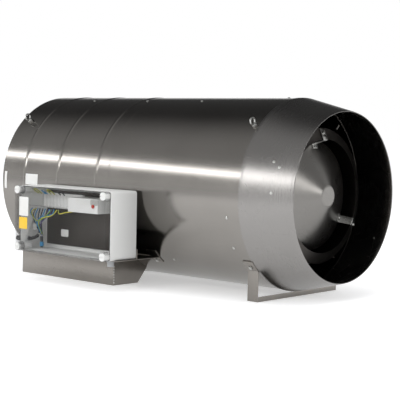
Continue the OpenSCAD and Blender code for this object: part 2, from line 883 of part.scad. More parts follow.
module deflector_dish() {
    shift = dish_t * [cos(dish_tilt), sin(dish_tilt)];
    color("#85807a") difference() {
        about_axis() rotate_extrude($fn = 120) polygon([
            [dish_r, dish_x], [disc_r, dish_x + dish_d], [0, dish_x + dish_d],
            [0, dish_x + dish_d - dish_t], [disc_r - dish_t / 2, dish_x + dish_d - dish_t], [dish_r, dish_x] - shift
        ]);
        bracket_bolt_holes();
    }
}

// Points on the front ring's and the dish's outer surface, as [radius, distance from the rear]
function on_ring(share) = [drum_r - ring_w * share, drum_x1 + ring_d * share];
function on_dish(share) = [dish_r - (dish_r - disc_r) * share, dish_x + dish_d * share];
bracket_lift = bracket_w * bracket_w / (8 * lip_r) + bracket_t / 2 + fit_gap;
ring_out = [cos(ring_tilt), sin(ring_tilt)];
dish_out = [cos(dish_tilt), sin(dish_tilt)];
bracket_route = [
    on_ring(bracket_shares[1]) + bracket_lift * ring_out,
    on_ring(bracket_shares[0]) + bracket_lift * ring_out,
    [lip_r - bracket_t, lip_x + bracket_t],
    on_dish(bracket_shares[1] / 2) + bracket_lift * dish_out,
    on_dish(bracket_shares[1] / 2) + bracket_lift * dish_out + bracket_foot * [-sin(dish_tilt), cos(dish_tilt)]
];

// Places of the two bolts in each bracket, pointing out of the sheet
module bracket_bolts() {
    for (a = bracket_angles) {
        p = on_ring(0.45) + (bracket_lift + bracket_t / 2) * ring_out;
        around(p[1], a, p[0]) rotate([0, ring_tilt, 0]) children();
        q = bracket_route[3] + bracket_foot * bolt_share * [-sin(dish_tilt), cos(dish_tilt)] + bracket_t / 2 * dish_out;
        around(q[1], a, q[0]) rotate([0, dish_tilt, 0]) children();
    }
}

module bracket_bolt_holes() bracket_bolts() translate([0, 0, -screw_len])
    cylinder(r = bolt_r + fit_gap, h = 2 * screw_len, $fn = 24);

module dish_brackets() {
    color("silver") difference() {
        for (a = bracket_angles) translate([0, 0, axis_h]) rotate([a, 0, 0]) translate([0, bracket_w / 2, 0])
            rotate([90, 0, 0]) linear_extrude(bracket_w) strip([for (p = bracket_route) [p[1], p[0]]], bracket_t);
        bracket_bolt_holes();
    }
}

module dish_bolts() {
    color("gainsboro") bracket_bolts() {
        cylinder(r = bolt_head_r, h = bolt_head_h, $fn = 6);
        translate([0, 0, -screw_len]) cylinder(r = bolt_r, h = screw_len + bolt_head_h / 2, $fn = 24);
    }
}

collar_tilt = atan2(collar_drop, collar_len);
collar_rivet_at = [[72, 67], [89, 70], [78, 86], [97, -121]];

// Places of the rivets on the collar, pointing out of its sheet
module rivet_places() {
    for (p = collar_rivet_at) around(casing_len + p[0], p[1], casing_r + collar_wall - p[0] * tan(collar_tilt))
        rotate([0, collar_tilt, 0]) children();
}

module outlet_collar() {
    in_r = casing_r + fit_gap;
    out_r = in_r + collar_wall;
    color("#8d8781") difference() {
        about_axis() rotate_extrude($fn = 180) polygon([
            [out_r, casing_len - collar_lap], [out_r, casing_len],
            [rim_r + hem_w * tan(collar_tilt), rim_x - hem_w], [rim_r + hem_w * tan(collar_tilt) + hem_h, rim_x - hem_w],
            [rim_r + hem_h, rim_x], [rim_r - collar_wall, rim_x],
            [in_r, casing_len], [in_r, casing_len - collar_lap]
        ]);
        rivet_places() translate([0, 0, -screw_len]) cylinder(r = screw_r + fit_gap, h = 2 * screw_len, $fn = 24);
    }
}

module collar_rivets() {
    color("gainsboro") rivet_places() {
        cylinder(r = screw_head_r, h = screw_head_h / 2, $fn = 32);
        translate([0, 0, -screw_len / 2]) cylinder(r = screw_r, h = screw_len / 2, $fn = 24);
        translate([0, 0, -screw_len / 2]) cylinder(r = screw_head_r - overrun, h = screw_head_h / 2, $fn = 32);
    }
}

module overheat_sensor() {
    color("#2b2b2d") difference() {
        around(drum_x1 - front_spacer_in, sensor_angle, inner_r - can_h - seat_gap * 2)
            cylinder(r = can_r, h = can_h, $fn = 48);
        casing_holes();
    }
}

module eye_bolts() {
    color("gainsboro") for (p = eye_at) around(p[0], p[1], casing_r) {
        translate([0, 0, eye_lift]) rotate([0, 90, 0]) rotate_extrude($fn = 48)
            translate([eye_r, 0]) circle(r = eye_wire, $fn = 24);
        translate([0, 0, -eye_stem_in]) cylinder(r = eye_stem_r, h = eye_stem_in + eye_nut_h + eye_wire, $fn = 24);
        translate([0, 0, fit_gap]) cylinder(r = eye_nut_r, h = eye_nut_h, $fn = 6);
    }
}

// A sheet tab that lies on the casing between two angles, as a flat outline
module tab_outline(t, from_angle, to_angle) {
    r0 = casing_r + fit_gap;
    reach = 2 * casing_r;
    translate([0, axis_h]) intersection() {
        difference() {
            circle(r = r0 + t, $fn = 180);
            circle(r = r0, $fn = 180);
        }
        polygon([[0, 0], reach * [-sin(from_angle), cos(from_angle)], reach * [-sin(to_angle), cos(to_angle)]]);
    }
}

module front_foot() {
    leg_top = axis_h - sqrt(pow(casing_r + fit_gap + foot_t, 2) - pow(leg_y + foot_t, 2)) + foot_t;
    color("#8d8781") difference() {
        union() {
            across(foot_x, foot_x + foot_w) {
                for (side = [0, 1]) mirror([side, 0]) {
                    tab_outline(foot_t, foot_angle - tab_arc, foot_angle + tab_end);
                    difference() {
                        translate([-leg_y - foot_t, 0]) square([foot_t, leg_top]);
                        translate([0, axis_h]) circle(r = casing_r + fit_gap, $fn = 180);
                    }
                }
                translate([-leg_y - foot_t, 0]) square([2 * (leg_y + foot_t), foot_t]);
            }
            across(foot_x + foot_w - foot_t, foot_x + foot_w)
                translate([-leg_y - foot_t, 0]) square([2 * (leg_y + foot_t), foot_flange]);
        }
        casing_holes();
        about_axis(casing_len - collar_lap - fit_gap)
            cylinder(r = casing_r + 2 * fit_gap + collar_wall, h = foot_w, $fn = 180);
    }
}

module mounting_bolts() {
    color("gainsboro") {
        for (p = foot_bolt_at) around(p[0], p[1], casing_r + fit_gap + foot_t + run_gap) {
            cylinder(r = bolt_head_r + overrun, h = bolt_head_h, $fn = 6);
            translate([0, 0, -screw_len]) cylinder(r = bolt_r, h = screw_len + overrun, $fn = 24);
        }
        for (p = tab_bolt_at) around(p[0], p[1], casing_r + fit_gap + shelf_t + run_gap) {
            cylinder(r = bolt_head_r, h = bolt_head_h, $fn = 6);
            translate([0, 0, -screw_len]) cylinder(r = bolt_r, h = screw_len + overrun, $fn = 24);
        }
    }
}

// The lower housing's outline across the heater, cut to the casing
module housing_outline() {
    difference() {
        polygon([
            [housing_y, 0], [housing_y, housing_h], [housing_back + slope_dy, housing_h],
            [housing_back + slope_dy, slope_dz], [housing_back, 0]
        ]);
        translate([0, axis_h]) circle(r = casing_r + fit_gap, $fn = 180);
    }
}

module housing_sheet() {
    difference() {
        union() {
            translate([housing_y, 0]) square([housing_wall, housing_h]);
            translate([housing_y, housing_h - housing_wall]) square([housing_w, housing_wall]);
            polygon([
                [housing_back, 0], [housing_back + slope_dy, slope_dz],
                [housing_back + slope_dy - slope_t, slope_dz], [housing_back - slope_t, 0]
            ]);
        }
        translate([0, axis_h]) circle(r = casing_r + fit_gap, $fn = 180);
    }
}

module lower_housing() {
    x1 = housing_x + housing_len;
    color("#85807a") difference() {
        union() {
            across(housing_x, x1) housing_sheet();
            across(housing_x, housing_x + housing_wall) housing_outline();
            across(x1 - housing_wall, x1) housing_outline();
        }
        translate([housing_x - overrun, housing_y + stub_in, service_z]) rotate([0, 90, 0])
            cylinder(r = inlet_stub_r + fit_gap, h = housing_wall + 2 * overrun, $fn = 24);
        cable_hole();
        bead_room();
    }
}

module housing_base() {
    color("#85807a") translate([housing_x + housing_wall, housing_y + housing_wall, 0])
        cube([housing_len - 2 * housing_wall, housing_w - housing_wall - slope_t, housing_wall]);
}

module box_bracket() {
    x1 = box_x + box_w + shelf_over;
    shelf_y = box_y - box_d * 0.8;
    tab_y = -sqrt(pow(casing_r + fit_gap + shelf_t / 2, 2) - pow(axis_h - shelf_z, 2));
    color("#85807a") difference() {
        union() {
            translate([box_x, shelf_y, shelf_z - shelf_t]) cube([x1 - box_x, tab_y - shelf_y, shelf_t]);
            translate([box_x, box_y, shelf_z - shelf_t]) cube([x1 - box_x, shelf_t, bracket_lip + shelf_t]);
            for (x = [box_x, x1 - bracket_tab_w]) across(x, x + bracket_tab_w)
                tab_outline(shelf_t, bracket_angle - bracket_tab_up, bracket_angle + bracket_tab_down);
        }
        casing_holes();
        power_gland_hole();
        bead_room();
        about_axis(-overrun) cylinder(r = casing_r + fit_gap, h = casing_len, $fn = 180);
    }
}

// Places the box's own frame: X to the right, Y up, Z out of the box's back wall
module box_place(depth = 0) translate([box_x, box_y - depth, box_top - box_h]) rotate([90, 0, 0]) children();

module rounded_slab(w, h, t, r) {
    linear_extrude(t) union() {
        translate([r, 0]) square([w - 2 * r, h]);
        translate([0, r]) square([w, h - 2 * r]);
        for (x = [r, w - r], y = [r, h - r]) translate([x, y]) circle(r = r, $fn = 32);
    }
}

lid_screw_at = [for (y = [box_h - screw_in_z, screw_in_z], x = [screw_in_x, box_w - screw_in_x]) [x, y]];

// Space of the motor cable's gland in the box's left wall, and of the power gland in its floor
module gland_hole() translate([box_x - overrun, box_y - gland_fwd, box_top - gland_drop]) rotate([0, 90, 0])
    cylinder(r = gland_r - gland_step, h = box_wall + 2 * overrun, $fn = 32);

module power_gland_hole() translate([box_x + power_gland_x, box_y - power_gland_y, shelf_z - shelf_t - overrun])
    cylinder(r = gland_r - gland_step, h = box_wall + shelf_t + 2 * overrun, $fn = 32);

module control_box() {
    color("#d9d9d6") difference() {
        box_place() difference() {
            rounded_slab(box_w, box_h, box_d, corner_r);
            translate([box_wall, box_wall, box_wall])
                cube([box_w - 2 * box_wall, box_h - 2 * box_wall, box_d]);
        }
        gland_hole();
        power_gland_hole();
    }
    color("#d9d9d6") box_posts();
}

// The four posts that take the lid's screws stand in the box's corners
module box_posts() {
    box_place() for (p = lid_screw_at) difference() {
        intersection() {
            translate([p[0], p[1], box_d - post_len]) cylinder(r = post_r, h = post_len, $fn = 32);
            translate([box_wall + fit_gap, box_wall + fit_gap, 0])
                cube([box_w - 2 * (box_wall + fit_gap), box_h - 2 * (box_wall + fit_gap), box_d]);
        }
        translate([p[0], p[1], box_d - post_len + box_wall]) cylinder(r = lid_shank_r + screw_play, h = post_len, $fn = 32);
    }
}

module box_gasket() {
    color("#33363a") box_place(box_d) linear_extrude(gasket_t) difference() {
        translate([box_wall + gasket_w / 2, box_wall + gasket_w / 2] - [gasket_w, gasket_w])
            square([box_w - 2 * box_wall + gasket_w, box_h - 2 * box_wall + gasket_w]);
        translate([box_wall, box_wall]) square([box_w - 2 * box_wall, box_h - 2 * box_wall]);
        for (p = lid_screw_at) translate(p) circle(r = post_r + overrun, $fn = 32);
    }
}

module box_lid() {
    color([0.35, 0.37, 0.38, 0.45]) box_place(box_d + gasket_t) difference() {
        union() {
            rounded_slab(box_w, box_h, lid_d - panel_h, corner_r);
            translate([panel_in, panel_in, 0]) rounded_slab(box_w - 2 * panel_in, box_h - 2 * panel_in, lid_d, corner_r);
        }
        translate([box_wall, box_wall, -overrun])
            cube([box_w - 2 * box_wall, box_h - 2 * box_wall, lid_d - panel_t - panel_h + overrun]);
        for (p = lid_screw_at) translate([p[0], p[1], -overrun])
            cylinder(r = lid_screw_r + pocket_gap, h = lid_d + 2 * overrun, $fn = 32);
    }
    color([0.35, 0.37, 0.38, 0.45]) box_place(box_d + gasket_t) lid_corners();
}

// The lid's corner walls and floors, which close each screw's pocket from inside the lid
module lid_corners() {
    pocket_r = lid_screw_r + pocket_gap;
    intersection() {
        rounded_slab(box_w, box_h, lid_d - panel_h, corner_r);
        for (p = lid_screw_at) translate([p[0], p[1], 0]) difference() {
            cylinder(r = pocket_r + pocket_wall, h = lid_d - panel_h - panel_t, $fn = 32);
            translate([0, 0, pocket_wall]) cylinder(r = pocket_r, h = lid_d, $fn = 32);
            translate([0, 0, -overrun]) cylinder(r = lid_shank_r + screw_play, h = lid_d, $fn = 32);
        }
    }
}

module lid_screw(i) {
    p = lid_screw_at[i];
    head_z = box_d + gasket_t + pocket_wall + seat_gap;
    shank_len = post_len - 2 * box_wall;
    color("white") box_place() translate([p[0], p[1], head_z]) difference() {
        union() {
            cylinder(r = lid_screw_r, h = head_h, $fn = 48);
            translate([0, 0, -shank_len]) cylinder(r = lid_shank_r, h = shank_len + overrun, $fn = 24);
        }
        translate([-lid_screw_r, -slot_head_w / 2, head_h - slot_head_d])
            cube([2 * lid_screw_r, slot_head_w, slot_head_d + overrun]);
    }
}

module mounting_plate() {
    w = box_w - 2 * mount_plate_in;
    h = box_h - 2 * mount_plate_in;
    rail_y = box_h - terminal_top - terminal_h / 2 - rail_h / 2;
    rail_w = terminal_in - mount_plate_in + terminal_w * terminal_count + controller_gap + controller_w;
    color("#56524d") box_place() {
        for (x = [stud_at[0], box_w - stud_at[0]], y = [stud_at[1], box_h - stud_at[1]])
            translate([x, y, box_wall]) cylinder(r = stud_r, h = plate_gap, $fn = 24);
        translate([mount_plate_in, mount_plate_in, box_wall + plate_gap]) cube([w, h, mount_plate_t]);
        translate([mount_plate_in, rail_y + rail_lip, box_wall + plate_gap + mount_plate_t])
            cube([rail_w, rail_h - 2 * rail_lip, rail_t - rail_sheet]);
        translate([mount_plate_in, rail_y, box_wall + plate_gap + mount_plate_t + rail_t - rail_sheet])
            cube([rail_w, rail_h, rail_sheet]);
    }
}

// Depth of the rail's front face in the box's own frame
rail_front = box_wall + plate_gap + mount_plate_t + rail_t;

module terminal_blocks() {
    color("#e6e6e2") box_place() for (i = [0 : terminal_count - 1])
        translate([terminal_in + i * terminal_w + rib_gap / 2, box_h - terminal_top - terminal_h, rail_front]) {
            cube([terminal_w - rib_gap, terminal_h, terminal_d - terminal_step]);
            cube([terminal_w - rib_gap, terminal_low_h, terminal_d]);
        }
}

controller_x = terminal_in + terminal_w * terminal_count + controller_gap;

module burner_controller() {
    color("#ecece9") box_place() translate([controller_x, box_h - controller_top - controller_h, rail_front]) difference() {
        cube([controller_w, controller_h, terminal_d]);
        translate([controller_w - button_in, controller_h / 2, terminal_d - button_h])
            cylinder(r = button_r + rib_gap, h = button_h + overrun, $fn = 32);
    }
}

module reset_button() {
    color("firebrick") box_place() translate([
        controller_x + controller_w - button_in, box_h - controller_top - controller_h / 2,
        rail_front + terminal_d - button_h + button_travel + rib_gap
    ]) cylinder(r = button_r, h = button_h, $fn = 32);
}

// A cable gland along +Z, seated on a wall at z = 0, with a clamp nut
module gland(bore_r) {
    difference() {
        union() {
            cylinder(r = gland_hex_r, h = gland_nut_h, $fn = 6);
            cylinder(r = gland_r, h = gland_len, $fn = 32);
            translate([0, 0, -box_wall - overrun])
                cylinder(r = gland_r - gland_step - fit_gap, h = box_wall + 2 * overrun, $fn = 32);
        }
        translate([0, 0, -2 * box_wall]) cylinder(r = bore_r, h = gland_len + 4 * box_wall, $fn = 32);
    }
}

module cable_glands() {
    color("#9a9c9e") {
        translate([box_x, box_y - gland_fwd, box_top - gland_drop]) rotate([0, -90, 0]) gland(cable_r + fit_gap);
        translate([box_x + power_gland_x, box_y - power_gland_y, shelf_z - shelf_t]) rotate([180, 0, 0])
            gland(cable_r);
        cable_entry() gland(cable_r + fit_gap);
    }
}

// Place where the motor cable enters the lower housing, pointing up
module cable_entry() translate([cable_x, entry_y, housing_h]) children();
module cable_hole() cable_entry() translate([0, 0, -box_wall]) cylinder(r = gland_r - gland_step, h = 2 * box_wall, $fn = 32);

entry_y = housing_y + entry_in;
cable_x = box_x - cable_out;
cable_y = box_y - gland_fwd;
cable_z = box_top - gland_drop;
cable_route = [
    [box_x + box_wall, cable_y, cable_z], [cable_x + cable_bend, cable_y, cable_z],
    [cable_x + cable_bend / 3, cable_y + cable_bend / 3, cable_z - cable_sag / 3],
    [cable_x, cable_y + cable_bend, cable_z - cable_sag],
    [cable_x, entry_y - cable_bend * 3 / 4, housing_h + 2 * gland_len],
    [cable_x, entry_y - cable_bend / 5, housing_h + 3 / 2 * gland_len],
    [cable_x, entry_y, housing_h + gland_len], [cable_x, entry_y, housing_h - box_wall]
];

module motor_cable() color("#1c1c1e") bar(cable_route, cable_r);

// Wires hang in front of the mounting plate, from the terminals towards the floor of the box
wire_r = 1.5;
wire_shares = [0.06, 0.14, 0.22, 0.3, 0.38, 0.46, 0.54];
module box_wires() {
    top = box_h - terminal_top - terminal_h;
    color("royalblue") box_place() for (s = wire_shares)
        translate([terminal_in + s * terminal_w * terminal_count, box_wall + top / 3, rail_front + terminal_d / 2])
            rotate([-90, 0, 0]) cylinder(r = wire_r, h = top * 2 / 3 - box_wall, $fn = 24);
}

module casing_labels() {
    color("white") {
        label(side_label_x, side_label_angles);
        label(edge_label_x, edge_label_angles);
    }
}

// A thin label that lies on the casing, between two distances and two angles
module label(xs, angles) across(xs[0], xs[1]) tab_outline(label_t, angles[0], angles[1]);

module lid_labels() {
    color("white") box_place(box_d + gasket_t + lid_d) translate([panel_in + lid_label_in, lid_label_up, 0])
        cube([lid_label[0], lid_label[1], label_t]);
    color("gold") box_place(box_d + gasket_t + lid_d) translate([panel_in + lid_label_in, lid_patch_up, 0])
        cube([lid_patch[0], lid_patch[1], label_t]);
}

in_frame() rear_casing();
in_frame() front_casing();
in_frame() joint_band();
in_frame() sheet_screws();
in_frame() inlet_ring();
in_frame() rear_guard();
in_frame() fan();
in_frame() motor_shaft();
in_frame() motor_rotor();
in_frame() motor_stator();
in_frame() motor_housing();
in_frame() motor_caps();
in_frame() motor_bearings();
in_frame() motor_bracket();
in_frame() pump_adapter();
in_frame() pump_coupling();
in_frame() oil_pump();
in_frame() solenoid_valve();
in_frame() oil_pipes();
in_frame() oil_inlet();
in_frame() burner_tube();
in_frame() burner_spider();
in_frame() swirl_plate();
in_frame() oil_lance();
in_frame() oil_nozzle();
in_frame() spark_electrodes();
in_frame() flame_sensor();
in_frame() ignition_leads();
in_frame() ignition_transformer();
in_frame() combustion_drum();
in_frame() drum_front_ring();
in_frame() drum_spacers();
in_frame() deflector_dish();
in_frame() dish_brackets();
in_frame() dish_bolts();
in_frame() outlet_collar();
in_frame() collar_rivets();
in_frame() overheat_sensor();
in_frame() eye_bolts();
in_frame() front_foot();
in_frame() mounting_bolts();
in_frame() lower_housing();
in_frame() housing_base();
in_frame() box_bracket();
in_frame() control_box();
in_frame() box_gasket();
in_frame() box_lid();
in_frame() lid_screw(0);  // lid_screw_1
in_frame() lid_screw(1);  // lid_screw_2
in_frame() lid_screw(2);  // lid_screw_3
in_frame() lid_screw(3);  // lid_screw_4
in_frame() mounting_plate();
in_frame() terminal_blocks();
in_frame() burner_controller();
in_frame() reset_button();
in_frame() cable_glands();
in_frame() motor_cable();
in_frame() box_wires();
in_frame() casing_labels();
in_frame() lid_labels();
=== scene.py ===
# %% [markdown]
# # An oil-fired space heater
# The heater is a long round stainless casing that blows hot air out of a tapered collar. A small
# control box with a clear lid hangs on its near side, over a folded sheet housing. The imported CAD
# model gives every size and every joint. This script gives the shapes their fine edges and their
# finishes, and sets up the lamps, the floor and the camera.

import json
import math

import bmesh
import bpy
from mathutils import Matrix, Vector


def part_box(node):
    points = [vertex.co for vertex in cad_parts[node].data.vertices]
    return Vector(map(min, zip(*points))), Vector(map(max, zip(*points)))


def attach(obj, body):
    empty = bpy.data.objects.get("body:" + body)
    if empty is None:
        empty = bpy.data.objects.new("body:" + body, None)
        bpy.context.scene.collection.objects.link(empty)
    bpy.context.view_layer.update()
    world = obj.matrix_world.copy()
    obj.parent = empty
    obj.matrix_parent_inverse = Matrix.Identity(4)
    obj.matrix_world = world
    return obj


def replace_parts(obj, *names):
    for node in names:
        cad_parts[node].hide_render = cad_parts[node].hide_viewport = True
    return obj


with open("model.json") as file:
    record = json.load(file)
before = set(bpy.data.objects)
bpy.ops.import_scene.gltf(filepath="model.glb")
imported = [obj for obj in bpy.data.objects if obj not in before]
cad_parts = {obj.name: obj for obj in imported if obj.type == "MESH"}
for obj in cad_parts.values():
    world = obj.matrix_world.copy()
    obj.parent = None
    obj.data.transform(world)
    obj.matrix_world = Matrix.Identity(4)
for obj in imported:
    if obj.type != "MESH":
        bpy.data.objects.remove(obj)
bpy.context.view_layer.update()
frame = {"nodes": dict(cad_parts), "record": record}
scene = bpy.context.scene

# %% [markdown]
# ## Camera
# The photograph was taken with a long lens from the outlet end, on the control box's side, a little
# above the axis and slightly rolled. The place was solved from the casing's round edges, so the
# camera is written down as a matrix instead of being aimed by eye.

# %% Camera
camera = bpy.data.objects.new("camera", bpy.data.cameras.new("camera"))
scene.collection.objects.link(camera)
camera.data.sensor_width = 36
camera.data.lens = 104.6
camera.matrix_world = Matrix((
    (0.74619, -0.05916, 0.66310, 2.192),
    (0.66539, 0.03425, -0.74571, -2.36478),
    (0.02140, 0.99766, 0.06492, 0.441825),
    (0, 0, 0, 1),
))
scene.camera = camera
scene.view_settings.view_transform = "Standard"
print("camera at", tuple(round(c, 3) for c in camera.location))

# %% [markdown]
# ## Where things are
# The maker's drawing counts from the casing's rear edge, from its axis and from the floor, in
# millimetres. Two short functions turn such numbers into the model's metres.

# %% Places on the heater
casing_low, casing_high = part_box("rear_casing")
rear_x = casing_low.x
axis_y = (casing_low.y + casing_high.y) / 2
axis_z = (casing_low.z + casing_high.z) / 2
body_of_node = {}
for body_name, members in frame["record"]["behaviour"]["bodies"].items():
    for member in members:
        body_of_node[member] = body_name


RIGHT = Vector((1, 0, 0))
UP = Vector((0, 0, 1))
NEAR = Vector((0, -1, 0))
AXIS_H = 265


def at(x, y, z):
    return Vector((rear_x + x / 1000, axis_y + y / 1000, z / 1000))


def around(x, angle, r):
    turn = math.radians(angle)
    out = Vector((0, -math.sin(turn), math.cos(turn)))
    return Vector((rear_x + x / 1000, axis_y, axis_z)) + out * r / 1000, out


print("axis", round(axis_y, 4), round(axis_z, 4), "rear edge", round(rear_x, 4))

# %% [markdown]
# ## Helpers for node trees
# Every finish and every repeated fitting is a small tree of nodes. These helpers add one node with
# its settings and join two sockets, so that the trees below stay short.


# %% Node helpers
def join(tree, source, target):
    tree.links.new(source, target)


def put(tree, value, socket):
    # another node's output is joined to the socket, and a plain value is written into it
    if isinstance(value, bpy.types.NodeSocket):
        join(tree, value, socket)
    else:
        socket.default_value = value


def add_node(tree, kind, **settings):
    # a setting names a property of the node, or else one of its inputs, with _ for each space
    new = tree.nodes.new(kind)
    for name, value in settings.items():
        if hasattr(new, name):
            setattr(new, name, value)
        else:
            put(tree, value, new.inputs[name.replace("_", " ")])
    return new


def make_group(name, sockets_in, sockets_out, kind="ShaderNodeTree"):
    group = bpy.data.node_groups.new(name, kind)
    for label, socket_kind, value in sockets_in:
        new = group.interface.new_socket(name=label, in_out="INPUT", socket_type=socket_kind)
        if value is not None:
            new.default_value = value
    for label, socket_kind in sockets_out:
        group.interface.new_socket(name=label, in_out="OUTPUT", socket_type=socket_kind)
    return group, group.nodes.new("NodeGroupInput"), group.nodes.new("NodeGroupOutput")


print("node helpers ready")

# %% [markdown]
# Sums, noise, a change of range and a mix of two colours come back in every finish. Each gets a
# function that takes what goes in and gives the socket that comes out. Colours are written as a
# screen shows them, and linear turns them into the amounts of light that Blender works with.


# %% Sums, noise, ranges and colours
def calculate(tree, operation, *values, kind="ShaderNodeMath", **settings):
    new = add_node(tree, kind, operation=operation, **settings)
    for socket, value in zip(new.inputs, values):
        put(tree, value, socket)
    return new.outputs[0]


def noise(tree, place, output="Fac", **settings):
    return add_node(tree, "ShaderNodeTexNoise", Vector=place, **settings).outputs[output]


def mapped(tree, value, **settings):
    return add_node(tree, "ShaderNodeMapRange", Value=value, **settings).outputs["Result"]


def mix_colours(tree, factor, first, second):
    new = add_node(tree, "ShaderNodeMix", data_type="RGBA")
    for slot, value in ((0, factor), (6, first), (7, second)):
        put(tree, value, new.inputs[slot])
    return new.outputs[2]


def linear(code):
    parts = [int(code[i:i + 2], 16) / 255 for i in (1, 3, 5)]
    return tuple(p / 12.92 if p <= 0.04045 else ((p + 0.055) / 1.055) ** 2.4 for p in parts) + (1,)


print("light grey reads as", [round(c, 3) for c in linear("#dddddb")])

# %% [markdown]
# ## Grain
# Rolled and brushed sheet has fine lines that run one way, and larger cloudy patches from
# handling. Moulded plastic has the same two scales, but its fine grain runs every way. One group
# gives both: the stretch tells how much finer the pattern is across the lines than along them.

# %% Grain group
grain, grain_in, grain_out = make_group(
    "grain",
    [("Coordinates", "NodeSocketVector", None), ("Stretch", "NodeSocketVector", (400, 400, 400)),
     ("Cloud Size", "NodeSocketFloat", 9.0)],
    [("Lines", "NodeSocketFloat"), ("Clouds", "NodeSocketFloat")],
)
grain_place = grain_in.outputs["Coordinates"]
stretched = calculate(grain, "MULTIPLY", grain_place, grain_in.outputs["Stretch"],
                      kind="ShaderNodeVectorMath")
fine = noise(grain, stretched, Scale=1.0, Detail=5.0, Roughness=0.6)
cloud = noise(grain, grain_place, Scale=grain_in.outputs["Cloud Size"], Detail=3.0, Roughness=0.5)
join(grain, fine, grain_out.inputs["Lines"])
join(grain, cloud, grain_out.inputs["Clouds"])
print("group:", grain.name)

# %% [markdown]
# ## Wear on edges
# Handled edges are rubbed brighter, and never evenly. The mesh carries a mark named worn on its
# bevels, and this group breaks it up with noise. It also gives sparse scratches.

# %% Wear group
wear, wear_in, wear_out = make_group(
    "wear",
    [("Coordinates", "NodeSocketVector", None), ("Worn", "NodeSocketFloat", 0.0),
     ("Scratches", "NodeSocketFloat", 0.3)],
    [("Edge", "NodeSocketFloat"), ("Scratch", "NodeSocketFloat")],
)
wear_place = wear_in.outputs["Coordinates"]
patchy = mapped(wear, noise(wear, wear_place, Scale=90.0, Detail=4.0), From_Min=0.42, From_Max=0.62)
rubbed = calculate(wear, "MULTIPLY", patchy, wear_in.outputs["Worn"])
bend = noise(wear, wear_place, "Color", Scale=3.0, Detail=1.0)
bent_place = calculate(wear, "MULTIPLY_ADD", bend, (0.2, 0.2, 0.2), wear_place,
                       kind="ShaderNodeVectorMath")
cells = add_node(wear, "ShaderNodeTexVoronoi", feature="DISTANCE_TO_EDGE", Scale=14.0,
                 Vector=bent_place)
thin = mapped(wear, cells.outputs["Distance"], From_Min=0.0, From_Max=0.006, To_Min=1.0, To_Max=0.0)
broken = calculate(wear, "MULTIPLY", thin, patchy)
scratch = calculate(wear, "MULTIPLY", broken, wear_in.outputs["Scratches"])
join(wear, rubbed, wear_out.inputs["Edge"])
join(wear, scratch, wear_out.inputs["Scratch"])
print("group:", wear.name)

# %% [markdown]
# ## One recipe for every finish
# A finish is two close colours that the grain mixes, a span of roughness, a little bump and a rubbed
# colour for the edges. The numbers differ from metal to plastic, but the recipe is the same, so
# it is one function. Turned sheets pass their own UV map, which runs round and along the sheet.


# %% The finish recipe
def finish(name, light, dark, rough, metal=0.0, stretch=(400, 400, 400), bump=0.05, edge=None,
           scratches=0.25, clouds=9.0, uv=None, brushed=0.0, coat=0.0):
    material = bpy.data.materials.new(name)
    material.use_nodes = True
    tree = material.node_tree
    shader = tree.nodes["Principled BSDF"]
    coordinates = add_node(tree, "ShaderNodeTexCoord").outputs["Object"]
    if uv:
        coordinates = add_node(tree, "ShaderNodeUVMap", uv_map=uv).outputs["UV"]
        tangent = add_node(tree, "ShaderNodeTangent", direction_type="UV_MAP", uv_map=uv)
        put(tree, brushed, shader.inputs["Anisotropic"])
        join(tree, tangent.outputs[0], shader.inputs["Tangent"])
    pattern = add_node(tree, "ShaderNodeGroup", node_tree=grain, Coordinates=coordinates,
                       Stretch=stretch, Cloud_Size=clouds)
    worn = add_node(tree, "ShaderNodeAttribute", attribute_name="worn").outputs["Fac"]
    marks = add_node(tree, "ShaderNodeGroup", node_tree=wear, Coordinates=coordinates, Worn=worn,
                     Scratches=scratches)
    cloudy = calculate(tree, "MULTIPLY_ADD", pattern.outputs["Clouds"], 0.9, -0.25)
    blend = calculate(tree, "MULTIPLY_ADD", pattern.outputs["Lines"], 0.6, cloudy)
    colour = mix_colours(tree, blend, linear(dark), linear(light))
    colour = mix_colours(tree, marks.outputs["Edge"], colour, linear(edge or light))
    span = mapped(tree, blend, From_Min=0.3, From_Max=0.7, To_Min=rough[0], To_Max=rough[1])
    roughness = calculate(tree, "MULTIPLY_ADD", marks.outputs["Scratch"], 0.25, span, use_clamp=True)
    height = calculate(tree, "SUBTRACT", pattern.outputs["Lines"], marks.outputs["Scratch"])
    relief = add_node(tree, "ShaderNodeBump", Strength=bump, Distance=0.0004, Height=height)
    for socket, value in (("Base Color", colour), ("Metallic", metal), ("Roughness", roughness),
                          ("Normal", relief.outputs["Normal"]), ("Coat Weight", coat),
                          ("Coat Roughness", 0.15)):
        put(tree, value, shader.inputs[socket])
    return material


def moulded(name, light, dark, rough, grain_size, bump, edge=None, **more):
    return finish(name, light, dark, rough, 0, (grain_size,) * 3, bump, edge, **more)


print("finish recipe ready")

# %% [markdown]
# ## Finishes
# The sheet is cold-rolled stainless with a warm brown-grey tone. The casing's lines run along it,
# the collar's run round it. The fittings are zinc plated, and the drum and its dish are
# darker from heat.

